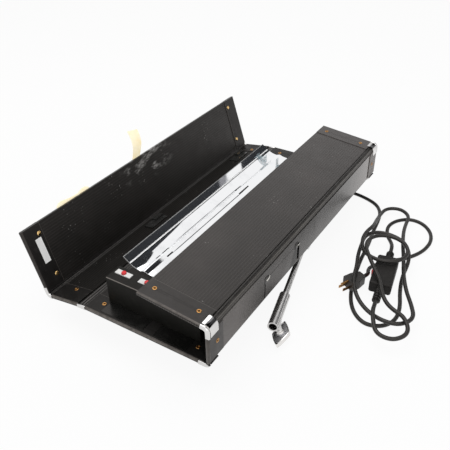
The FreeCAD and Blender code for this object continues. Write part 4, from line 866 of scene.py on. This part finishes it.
# Colour of the painted dark reflections in the mirror.
DARK_REFLECTION = (0.02, 0.021, 0.023, 1)
CREASE_X = 0.09
CREASE_HALF = 0.0011
CREASE_SHADE = 0.0013
RIM = 0.0013
DARK_LINE_HALF = 0.0007
SOFT_EDGE = 0.0003
FINE_EDGE = 0.0002
DARK_LINE_FADE = 0.03
# Lines of painted dark reflection: place across, near end and far end.
DARK_REFLECTION_LINES = (
    (0.064, -0.155, -0.07),
    (0.064, -0.027, 0.05),
    (0.046, -0.2, 0.05),
)


def band(tree, value, low, high, soft):
    """1 between two values, 0 outside them, with soft ends."""
    rising = ranged(tree, value, low - soft, low, 0, 1)
    falling = ranged(tree, value, high, high + soft, 1, 0)
    return times(tree, rising, falling)


def mirror_sheet():
    """Polished aluminium with finger marks, burnished bends, raw edges and lines of painted dark reflection.
    """
    material, tree, shader = new_finish("mirror_sheet", Metallic=1.0)
    low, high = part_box("reflector")
    split = add(tree, "ShaderNodeSeparateXYZ", {0: place(tree)}).outputs
    from_middle = math_node(tree, "ABSOLUTE", split["X"])
    marks = ranged(tree, grain(tree, 26, 6), 0.55, 0.8, 0, 1)
    bend = band(tree, from_middle, CREASE_X - CREASE_HALF, CREASE_X + CREASE_HALF, SOFT_EDGE)
    side_rim = ranged(tree, from_middle, high.x - RIM, high.x - RIM * EDGE_FULL, 0, 1)
    near_rim = ranged(tree, split["Y"], low.y + RIM * EDGE_FULL, low.y + RIM, 1, 0)
    rim = highest(tree, side_rim, near_rim)
    inner_bend = CREASE_X - CREASE_HALF
    # Painted dark reflection at the foot of the crease and along the lines.
    reflected_dark_mask = band(tree, from_middle, inner_bend - CREASE_SHADE, inner_bend - SOFT_EDGE, FINE_EDGE)
    for foot, near, far in DARK_REFLECTION_LINES:
        line = band(tree, from_middle, foot - DARK_LINE_HALF, foot + DARK_LINE_HALF, SOFT_EDGE)
        stretch = band(tree, split["Y"], near, far, DARK_LINE_FADE)
        reflected_dark_mask = highest(tree, reflected_dark_mask, times(tree, line, stretch))
    colour = mixed(tree, marks, MIRROR, MIRROR_DULL)
    for factor, tone in ((bend, BURNISHED), (rim, RAW_EDGE), (reflected_dark_mask, DARK_REFLECTION)):
        colour = mixed(tree, factor, colour, tone)
    satin = times(tree, highest(tree, bend, rim), 0.55)
    rough = highest(tree, ranged(tree, marks, 0, 1, 0.03, 0.1), satin)
    drive(shader, Base_Color=colour, Roughness=rough)
    bumped(tree, shader, grain(tree, 60, 1, (1, 0.02, 1)), 0.02, 0.0004)
    return material


paint(mirror_sheet(), "reflector")
bracket_grey = plated_metal("bracket_grey", CHROME_DULL, (0.4, 0.4, 0.39, 1), 0.3, (1, 0.1, 1), 0.04)
paint(bracket_grey, "reflector_brackets")
rivet_white = moulded_plastic("rivet_white", (0.75, 0.75, 0.74, 1), (0.5, 0.5, 0.49, 1), 0.35, 0.05)
paint(rivet_white, "reflector_rivets")

# Lamp clips: small clear plastic springs that hold the far ends of the lamps.
# They are moulded in one piece and stand on the floor of the reflector.
CLEAR_DARK = (0.1, 0.14, 0.16, 1)
CLEAR_PALE = (0.52, 0.66, 0.71, 1)


def clear_plastic():
    """Clear plastic with a blue cast, faintly clouded."""
    material, tree, shader = new_finish("clear_plastic", Alpha=0.32)
    clouds = grain(tree, 150, 3)
    rough = ranged(tree, clouds, 0.35, 0.7, 0.05, 0.15)
    drive(shader, Base_Color=mixed(tree, clouds, CLEAR_DARK, CLEAR_PALE), Roughness=rough)
    return material


paint(clear_plastic(), "lamp_clips")

# Lamp holders: white moulded holders under a folded black cover, with red release buttons.
# The cover is folded from painted sheet, and its front edge carries a painted highlight line.
COVER_EDGE = 0.0014
COVER_FULL = 0.7
HOLDER_SOFT = 0.0006
LAMPS = 4
RED = (0.7, 0.012, 0.02, 1)
RED_WORN = (0.5, 0.01, 0.016, 1)


def cover_finish():
    """Black paint, with a painted highlight line along the front edge of the cover."""
    material = moulded_plastic("cover_black", (0.007, 0.007, 0.006, 1), (0.02, 0.02, 0.018, 1), 0.5, 0.2)
    tree, shader = tree_and_shader(material)
    shader.inputs["Specular IOR Level"].default_value = 0.15
    low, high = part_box("lamp_holder_block")
    front = ranged(tree, along(tree, LENGTHWISE), low.y + COVER_EDGE * COVER_FULL, low.y + COVER_EDGE, 1, 0)
    top = ranged(tree, along(tree, UPWARDS), high.z - COVER_EDGE, high.z - COVER_EDGE * COVER_FULL, 0, 1)
    # Painted highlight line along the cover's front edge.
    overlay(shader, times(tree, front, top), PAINTED_HIGHLIGHT)
    return material


holder_white = moulded_plastic("holder_white", (0.8, 0.8, 0.785, 1), (0.62, 0.62, 0.6, 1), 0.3, 0.04)
button_red = moulded_plastic("button_red", RED, RED_WORN, 0.28, 0.03)
buttons = ["lamp_button_%d" % (i + 1) for i in range(LAMPS)]
paint(cover_finish(), "lamp_holder_block")
paint(holder_white, "lamp_holders")
paint(button_red, *buttons)
soften(HOLDER_SOFT, "lamp_holder_block", "lamp_holders", *buttons)

# Ballast housing and what it holds: painted steel tray, potted ballasts, terminal block and wiring.
# The gland, screws and grommet are fitted through its walls and the back panel.
tray_paint = moulded_plastic("tray_paint", (0.018, 0.018, 0.018, 1), (0.07, 0.07, 0.07, 1), 0.42, 0.3)
potting_grey = moulded_plastic("potting_grey", (0.3, 0.3, 0.31, 1), (0.2, 0.2, 0.21, 1), 0.55, 0.2)
wire_black = moulded_plastic("wire_black", (0.025, 0.025, 0.026, 1), (0.06, 0.06, 0.06, 1), 0.5, 0.1)
gland_black = moulded_plastic("gland_black", (0.016, 0.0155, 0.015, 1), (0.05, 0.05, 0.048, 1), 0.38, 0.2)
zinc = plated_metal("zinc", (0.6, 0.6, 0.6, 1), (0.42, 0.42, 0.42, 1), 0.26, (0.3, 1, 1), 0.04)
paint(tray_paint, "ballast_housing")
paint(potting_grey, "ballasts")
paint(holder_white, "terminal_block")
paint(wire_black, "inner_wiring", "harness_grommet")
paint(gland_black, "cord_gland")
paint(zinc, "panel_screws")

# Stand arm: plated swivel and rod under the back panel, with a receiver tube for a light stand's stud.
# The tube has a turned lug on its side for the lock screw.
ARM_BRIGHT = (0.66, 0.65, 0.64, 1)
ARM_DULL = (0.4, 0.39, 0.385, 1)
arm_chrome = smooth_plate("arm_chrome", ARM_BRIGHT, ARM_DULL, 0.24)
paint(zinc, "mount_plate", "swivel_block", "swivel_nut", "tilt_pin")
paint(arm_chrome, "arm_rod", "receiver_tube")

# Lock knob: one plated casting, a lozenge wing plate with sunk faces on a stepped collar.
# Its screw runs in the lug of the receiver tube.
KNOB_ROOT = Vector(joints["lock_knob_turn"]["pos_m"])
KNOB_AXIS = Vector(joints["lock_knob_turn"]["axis"])
KNOB_LONG_WAY = KNOB_AXIS.cross(UPWARDS).normalized()
KNOB_SHORT_WAY = KNOB_AXIS.cross(KNOB_LONG_WAY)
KNOB_HALF_LONG = 0.034
KNOB_HALF_SHORT = 0.018
KNOB_CORNERS = 1.22
KNOB_POINTS = 56
KNOB_PLATE_REACH = 0.0335
KNOB_PLATE_HALF = (
    (0.0036, 0.02),
    (0.0036, 0.84),
    (0.0042, 0.87),
    (0.0045, 0.93),
    (0.0041, 0.985),
    (0.0029, 1.0),
)
KNOB_COLLAR = (
    (0.0085, 0.003),
    (0.0212, 0.003),
    (0.0213, 0.005),
    (0.0216, 0.0054),
    (0.0243, 0.006),
    (0.0246, 0.0072),
    (0.0275, 0.0082),
    (0.0305, 0.0086),
)
KNOB_RIM = 0.86
KNOB_RIM_SOFT = 0.03
KNOB_FACE = 0.0275
KNOB_FACE_SOFT = 0.0005
KNOB_BRIGHT = (0.8, 0.78, 0.76, 1)
KNOB_DARK = (0.5, 0.5, 0.51, 1)


def knob_loop(reach, long_half, short_half, power):
    """Rounded lozenge, or a circle, square to the knob's axis."""
    loop = []
    for i in range(KNOB_POINTS):
        turn = 2 * math.pi * i / KNOB_POINTS
        along_long = math.copysign(abs(math.cos(turn)) ** (2 / power), math.cos(turn))
        along_short = math.copysign(abs(math.sin(turn)) ** (2 / power), math.sin(turn))
        point = KNOB_ROOT + KNOB_AXIS * reach + KNOB_LONG_WAY * long_half * along_long
        loop.append(point + KNOB_SHORT_WAY * short_half * along_short)
    return loop


def knob_shape(shape):
    """Wing plate, alike on both faces, and the collar with its screw."""
    plate = [(KNOB_PLATE_REACH - depth, share) for depth, share in KNOB_PLATE_HALF]
    plate += [(KNOB_PLATE_REACH + depth, share) for depth, share in reversed(KNOB_PLATE_HALF)]
    wing = []
    for reach, share in plate:
        wing.append(knob_loop(reach, KNOB_HALF_LONG * share, KNOB_HALF_SHORT * share, KNOB_CORNERS))
    skin(shape, wing)
    skin(shape, [knob_loop(reach, radius, radius, 2) for reach, radius in KNOB_COLLAR])


def knob_finish():
    """Satin plate, left dark and rough as cast in the sunk faces of the wing."""
    material = smooth_plate("knob_plate", KNOB_BRIGHT, ARM_BRIGHT, 0.2)
    tree, shader = tree_and_shader(material)
    total = 0.0
    for way, half in ((KNOB_LONG_WAY, KNOB_HALF_LONG), (KNOB_SHORT_WAY, KNOB_HALF_SHORT)):
        from_axis = math_node(tree, "SUBTRACT", along(tree, way), KNOB_ROOT.dot(way))
        share = math_node(tree, "DIVIDE", math_node(tree, "ABSOLUTE", from_axis), half)
        total = math_node(tree, "ADD", math_node(tree, "POWER", share, KNOB_CORNERS), total)
    reach = math_node(tree, "SUBTRACT", along(tree, KNOB_AXIS), KNOB_ROOT.dot(KNOB_AXIS))
    on_wing = ranged(tree, reach, KNOB_FACE, KNOB_FACE + KNOB_FACE_SOFT, 0, 1)
    cast = times(tree, on_wing, ranged(tree, total, KNOB_RIM - KNOB_RIM_SOFT, KNOB_RIM, 1, 0))
    overlay(shader, cast, KNOB_DARK)
    even = shader.inputs["Roughness"].links[0].from_socket
    drive(shader, Roughness=math_node(tree, "ADD", even, times(tree, cast, 0.3)))
    return material


knob = piece_from("lock_knob_casting", knob_shape, knob_finish())
smooth(knob, 30)
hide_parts("lock_knob")
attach(knob, "lock_knob")

# Tape: two remnants of cream crepe masking tape, torn off at the free edge of the left door.
# One stands up from the edge as a loose curled strip, the other is a ragged flap.
TAPE_THICK = 0.0004
# Strength of the tape's painted glow.
TAPE_PAINTED_GLOW = 0.36
TAPE_STUCK = 0.012
STRIP_FOOT = -0.031
STRIP_HALF = 0.0135
STRIP_TIP = Vector((-0.303, -0.012, 0.2425))
STRIP_TIP_HALF = Vector((0.001, 0.0165, -0.0035))
STRIP_BOW = Vector((0.004, 0.005, 0))
STRIP_ROWS = 16
FLAP_NEAR = -0.285
FLAP_FAR = -0.191
FLAP_LEAN = 0.3
FLAP_HEIGHTS = (
    0.001, 0.005, 0.006, 0.005, 0.0035, 0.0025, 0.002, 0.0018, 0.002, 0.004, 0.0055, 0.005, 0.0015,
)
PAPER_CREAM = (0.98, 0.89, 0.66, 1)
PAPER_STAINED = (0.95, 0.8, 0.5, 1)


def crepe_paper():
    """Cream paper with a painted glow that brightens it, fine crepe lines across it and dirtier patches."""
    # Painted light: the paper glows in its own colour, though it is no lamp.
    sockets = {"Roughness": 0.75, "Specular_IOR_Level": 0.2, "Emission_Strength": TAPE_PAINTED_GLOW}
    material, tree, shader = new_finish("crepe_paper", **sockets)
    stain = ranged(tree, grain(tree, 70, 4), 0.4, 0.75, 0, 1)
    colour = mixed(tree, stain, PAPER_CREAM, PAPER_STAINED)
    drive(shader, Base_Color=colour, Emission_Color=colour)
    bumped(tree, shader, grain(tree, 900, 2, (0.3, 0.3, 1.6)), 0.5, 0.0004)
    return material


def free_edge(y):
    """Point of the left door's free edge, at its outer face."""
    low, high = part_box("left_door_panel")
    return Vector((low.x, y, high.z))


def strip_loops(thick, down):
    """Flat sections of the loose strip, from where it is stuck to its tip."""
    foot = free_edge(STRIP_FOOT)
    foot_half = LENGTHWISE * STRIP_HALF
    loops = [[foot + down - foot_half, foot + down + foot_half]]
    for row in range(STRIP_ROWS + 1):
        share = row / STRIP_ROWS
        middle = foot.lerp(STRIP_TIP, share) + STRIP_BOW * math.sin(math.pi * share)
        half = foot_half.lerp(STRIP_TIP_HALF, share)
        loops.append([middle - half, middle + half])
    return [[near, far, far + thick, near + thick] for near, far in loops]


def flap_loops(thick, down):
    """Bent sections of the ragged flap, from its near end to its far one."""
    loops = []
    for i, height in enumerate(FLAP_HEIGHTS):
        edge = free_edge(FLAP_NEAR + (FLAP_FAR - FLAP_NEAR) * i / (len(FLAP_HEIGHTS) - 1))
        top = edge + (LEFT_DOOR - SIDEWAYS * FLAP_LEAN) * height
        loops.append([edge + down, edge, top, top + thick, edge + thick, edge + down + thick])
    return loops


def tape_shape(shape):
    """Both remnants, each a ribbon stuck to the outside of the door."""
    for ribbon in (strip_loops, flap_loops):
        skin(shape, ribbon(-SIDEWAYS * TAPE_THICK, -LEFT_DOOR * TAPE_STUCK))


tape = piece_from("door_tape_paper", tape_shape, crepe_paper())
smooth(tape, 50)
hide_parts("door_tape")
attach(tape, "left_door")

# Switch box: black moulded box in the cord, with ribbed strain reliefs and a red and white rocker.
# A bare grey label runs along one side, and the plug on the cord's other end has brass blades.
BOX_MIDDLE = Vector((0.304, 0.056, 0.0235))
BOX_TURN = math.radians(-80.4)
BOX_WAY = Vector((math.cos(BOX_TURN), math.sin(BOX_TURN), 0))
BOX_SIDE = BOX_WAY.cross(-UPWARDS)
BOX_LABEL_HALF = 0.034
BOX_LABEL_DEPTH = 0.0008
BOX_PART_LINE = 0.0005
PLUG_SOFT = 0.0008
LABEL_GREY = (0.11, 0.11, 0.108, 1)
LINE_BLACK = (0.003, 0.003, 0.003, 1)
ROCKER_WHITE = (0.6, 0.6, 0.63, 1)
RUBBER = (0.012, 0.012, 0.0112, 1)
RUBBER_WORN = (0.033, 0.033, 0.031, 1)


def box_finish():
    """Grained black plastic, with a grey label on one side and a dark parting line round it."""
    material = moulded_plastic("box_black", (0.012, 0.0115, 0.011, 1), (0.03, 0.029, 0.028, 1), 0.5, 0.25)
    tree, shader = tree_and_shader(material)
    shader.inputs["Specular IOR Level"].default_value = 0.2
    height = along(tree, UPWARDS)
    line = band(tree, height, BOX_MIDDLE.z - BOX_PART_LINE, BOX_MIDDLE.z + BOX_PART_LINE, FINE_EDGE)
    overlay(shader, line, LINE_BLACK)
    face = max(vert.co.dot(BOX_SIDE) for vert in nodes["switch_box"].data.vertices)
    on_side = ranged(tree, along(tree, BOX_SIDE), face - BOX_LABEL_DEPTH, face - BOX_LABEL_DEPTH / 2, 0, 1)
    middle = BOX_MIDDLE.dot(BOX_WAY)
    in_length = band(tree, along(tree, BOX_WAY), middle - BOX_LABEL_HALF, middle + BOX_LABEL_HALF, SOFT_EDGE)
    overlay(shader, times(tree, on_side, in_length), LABEL_GREY)
    return material


def rocker_finish():
    """Rocker moulded in two colours, red over one half and white over the other."""
    material = moulded_plastic("rocker_halves", RED, RED_WORN, 0.3, 0.03)
    tree, shader = tree_and_shader(material)
    low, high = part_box("rocker_switch")
    middle = (low + high).dot(BOX_WAY) / 2
    white = ranged(tree, along(tree, BOX_WAY), middle - FINE_EDGE, middle + FINE_EDGE, 0, 1)
    overlay(shader, white, ROCKER_WHITE)
    return material


rubber_black = moulded_plastic("rubber_black", RUBBER, RUBBER_WORN, 0.45, 0.15)
paint(box_finish(), "switch_box")
paint(rubber_black, "switch_strain_reliefs", "plug_body")
paint(brass, "plug_prongs")
paint(rocker_finish(), "rocker_switch")
soften(PLUG_SOFT, "plug_body", "rocker_switch")

# Mains cord: black rubber flex, loose on the floor in several bends.
# One length runs from the gland to the switch box, the other from the box to the plug.
CORD = 0.0085
CORD_LAYER = 0.0096
CORD_LOW = 0.0046
PLUG_MIDDLE = Vector((0.258, 0.008, 0.0204))
PLUG_TURN = math.radians(-116.8)
GLAND_MOUTH = (0.015, 0.2435, 0.014)
GLAND_RUN = (0.015, 0.292, 0.014)
BOX_ENTRY = 0.046
LEAD_TURN_REACH = 0.107
TAIL_TURN_REACH = 0.102
PLUG_ENTRY = 0.008
PLUG_TURN_REACH = 0.038
LEAD_ROUTE = (
    (0.030, 0.335, 0.5),
    (0.068, 0.362, 0),
    (0.113, 0.366, 0),
    (0.148, 0.358, 0),
    (0.182, 0.343, 0),
    (0.204, 0.314, 0),
    (0.214, 0.272, 0),
    (0.219, 0.222, 0),
    (0.229, 0.166, 0),
    (0.234, 0.110, 0),
    (0.243, 0.054, 0),
    (0.256, -0.005, 0),
    (0.273, -0.048, 0),
    (0.295, -0.076, 0),
    (0.322, -0.090, 0),
    (0.352, -0.078, 0),
    (0.368, -0.048, 0),
    (0.364, -0.008, 0),
    (0.345, 0.045, 0),
    (0.335, 0.092, 0.3),
    (0.335, 0.126, 1.4),
    (0.327, 0.152, 2.5),
    (0.308, 0.174, 3.2),
    (0.286, 0.186, 3.1),
    (0.258, 0.191, 3),
    (0.233, 0.181, 3),
    (0.221, 0.154, 3),
    (0.227, 0.118, 3),
    (0.235, 0.078, 3.1),
    (0.249, 0.036, 3.4),
    (0.258, -0.006, 3.5),
    (0.274, -0.038, 3.2),
    (0.293, -0.059, 2.6),
    (0.318, -0.073, 2),
    (0.350, -0.083, 2),
    (0.383, -0.078, 2),
    (0.402, -0.046, 2),
    (0.385, -0.010, 2),
    (0.361, 0.028, 2),
    (0.339, 0.078, 2),
    (0.324, 0.125, 2),
    (0.304, 0.180, 1.9),
    (0.288, 0.232, 1.6),
    (0.280, 0.276, 1.2),
    (0.276, 0.318, 1),
    (0.246, 0.339, 1),
    (0.214, 0.322, 1),
    (0.213, 0.278, 1.2),
    (0.219, 0.234, 2.4),
    (0.228, 0.190, 4.15),
    (0.222, 0.155, 4.15),
    (0.226, 0.122, 4.15),
    (0.243, 0.082, 4.15),
    (0.283, 0.068, 4.1),
    (0.320, 0.085, 4.1),
    (0.333, 0.122, 4.1),
    (0.317, 0.156, 4.2),
    (0.283, 0.169, 4.3),
    (0.251, 0.154, 4.5),
    (0.239, 0.122, 4.85),
    (0.247, 0.088, 5.15),
    (0.264, 0.062, 5.15),
    (0.283, 0.038, 4.85),
    (0.311, 0.006, 4.2),
    (0.325, -0.024, 4),
    (0.342, -0.047, 3.8),
    (0.361, -0.058, 3.5),
    (0.388, -0.064, 3.2),
    (0.408, -0.096, 2.6),
    (0.388, -0.128, 2.4),
    (0.353, -0.129, 2.6),
    (0.336, -0.100, 3.4),
    (0.327, -0.075, 3.3),
)
TAIL_ROUTE = (
    (0.274, 0.194, 0.5),
    (0.253, 0.224, 0),
    (0.241, 0.262, 0),
    (0.252, 0.298, 0),
    (0.280, 0.321, 0),
    (0.312, 0.316, 0),
    (0.338, 0.290, 0),
    (0.350, 0.255, 0),
    (0.348, 0.218, 0),
    (0.338, 0.188, 0),
    (0.321, 0.160, 0),
    (0.300, 0.139, 0),
    (0.277, 0.113, 0),
    (0.264, 0.087, 0.2),
    (0.266, 0.064, 0.9),
)


def beside(middle, turn, reach):
    """Point on the line of the box or the plug, at a reach from its middle."""
    return middle + Vector((math.cos(turn), math.sin(turn), 0)) * reach


def laid(route):
    """Points of a route on the floor, its layers turned into heights."""
    return [(x, y, CORD_LOW + CORD_LAYER * layer) for x, y, layer in route]


def flex(name, points):
    """Round flex along one smooth line."""
    curve = bpy.data.curves.new(name, "CURVE")
    curve.dimensions = "3D"
    curve.bevel_depth = CORD / 2
    curve.bevel_resolution = 5
    curve.use_fill_caps = True
    curve.resolution_u = 8
    spline = curve.splines.new("NURBS")
    spline.points.add(len(points) - 1)
    for place_on, point in zip(spline.points, points):
        place_on.co = (*point, 1)
    spline.order_u = 3
    spline.use_endpoint_u = True
    curve.materials.append(rubber_black)
    piece = new_object(name, curve)
    return piece


lead_end = [beside(BOX_MIDDLE, BOX_TURN, reach) for reach in (LEAD_TURN_REACH, BOX_ENTRY)]
lead = flex("mains_lead", [GLAND_MOUTH, GLAND_RUN] + laid(LEAD_ROUTE) + lead_end)
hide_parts("cord_lead")
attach(lead, "root")

tail_start = [beside(BOX_MIDDLE, BOX_TURN, reach) for reach in (-BOX_ENTRY, -TAIL_TURN_REACH)]
tail_end = [beside(PLUG_MIDDLE, PLUG_TURN, reach) for reach in (-PLUG_TURN_REACH, -PLUG_ENTRY)]
tail = flex("mains_tail", tail_start + laid(TAIL_ROUTE) + tail_end)
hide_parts("cord_tail")
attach(tail, "root")

# Studio: a white floor under an even white sky, with soft light from above and from the front.
# Dark and grey cards behind the object, seen in reflections alone, stand for the dark side of the room.
# The camera stands at the photograph's place.
WHITE = (1, 1, 1, 1)
FLOOR_WHITE = (0.9, 0.9, 0.9, 1)
FLOOR_HALF = 30.0
FLOOR_GLOW = 0.92
SKY_LIGHT = 0.5
CAMERA_PLACE = (0.56248, -0.97371, 0.84725)
CAMERA_TURN = 32.656
CAMERA_PITCH = 34.378
CAMERA_ROLL = 1.022
CAMERA_LENS = 48.48
CAMERA_SENSOR = 36
FLAG_Y = 1.3
FLAG_BLACK = (0.01, 0.012, 0.016, 1)
FLAG_GREY = (0.3, 0.3, 0.32, 1)
FLAG_DARK = (0.01, 0.01, 0.01, 1)
UPPER_FLAG = (
    (-0.95, 2.15),
    (0.06, 2.15),
    (0.62, 1.46),
    (0.42, 1.17),
    (1.6, 1.17),
    (1.6, 3.2),
    (-0.95, 3.2),
)
GREY_FLAG = ((0.42, 1.11), (0.7, 1.15), (0.7, 1.18), (0.42, 1.18))
LOWER_FLAG = ((0.1, 0.5), (1.3, 0.5), (1.3, 1.04), (0.1, 1.0))
SIDE_FLAG = ((1.65, 0.8), (2.8, 0.8), (2.8, 2.2), (1.65, 2.2))
scene = bpy.context.scene
camera = new_object("camera", bpy.data.cameras.new("camera"))
turn = Matrix.Rotation(math.radians(CAMERA_TURN), 4, "Z")
pitch = Matrix.Rotation(math.radians(90 - CAMERA_PITCH), 4, "X")
roll = Matrix.Rotation(math.radians(-CAMERA_ROLL), 4, "Z")
camera.matrix_world = Matrix.Translation(CAMERA_PLACE) @ turn @ pitch @ roll
camera.data.lens = CAMERA_LENS
camera.data.sensor_width = CAMERA_SENSOR
scene.camera = camera
scene.view_settings.view_transform = "Standard"


def seen_directly(tree):
    """1 for what the camera sees, straight or through glass and bright metal, else 0."""
    path = add(tree, "ShaderNodeLightPath").outputs
    mirrored = math_node(tree, "ADD", path["Is Glossy Ray"], path["Is Transmission Ray"])
    inputs = {0: path["Is Camera Ray"], 1: mirrored}
    both = add(tree, "ShaderNodeMath", inputs, operation="ADD", use_clamp=True)
    return both.outputs[0]


world = bpy.data.worlds.new("studio")
world.use_nodes = True
scene.world = world
sky = world.node_tree.nodes["Background"]
sky.inputs["Color"].default_value = WHITE
strength = ranged(world.node_tree, seen_directly(world.node_tree), 0, 1, SKY_LIGHT, 1)
world.node_tree.links.new(strength, sky.inputs["Strength"])

floor_finish, tree, shader = new_finish("floor_white", Base_Color=FLOOR_WHITE, Roughness=0.9)
glow = add(tree, "ShaderNodeEmission", {"Color": WHITE, "Strength": 1.0}).outputs[0]
share = times(tree, seen_directly(tree), FLOOR_GLOW)
blend = add(tree, "ShaderNodeMixShader", {0: share, 1: shader.outputs[0], 2: glow}).outputs[0]
tree.links.new(blend, tree.nodes["Material Output"].inputs["Surface"])
corners = [(x * FLOOR_HALF, y * FLOOR_HALF, 0) for x, y in ((-1, -1), (1, -1), (1, 1), (-1, 1))]
floor_mesh = bpy.data.meshes.new("floor")
floor_mesh.from_pydata(corners, [], [(0, 1, 2, 3)])
floor_mesh.materials.append(floor_finish)
floor = new_object("floor", floor_mesh)


def softbox(name, spot, size, power):
    """Square soft light that looks at the object."""
    light = new_object(name, bpy.data.lights.new(name, "AREA"))
    light.data.size = size
    light.data.energy = power
    light.location = spot
    light.rotation_euler = (-Vector(spot)).to_track_quat("-Z", "Y").to_euler()


softbox("overhead", spot=(-0.4, 0.1, 2.2), size=2.0, power=26)
softbox("front", spot=(1.6, -1.8, 1.5), size=1.4, power=10)


def flag(name, outline, tone):
    """Card behind the object, seen in reflections alone."""
    mesh = bpy.data.meshes.new(name)
    corners = [(x, FLAG_Y, z) for x, z in outline]
    mesh.from_pydata(corners, [], [range(len(corners))])
    mesh.materials.append(new_finish(name + "_card", Base_Color=tone, Roughness=0.9)[0])
    card = new_object(name, mesh)
    card.visible_camera = False
    card.visible_diffuse = False
    card.visible_shadow = False


flag("upper_flag", UPPER_FLAG, FLAG_BLACK)
flag("grey_flag", GREY_FLAG, FLAG_GREY)
flag("lower_flag", LOWER_FLAG, FLAG_BLACK)
flag("side_flag", SIDE_FLAG, FLAG_DARK)
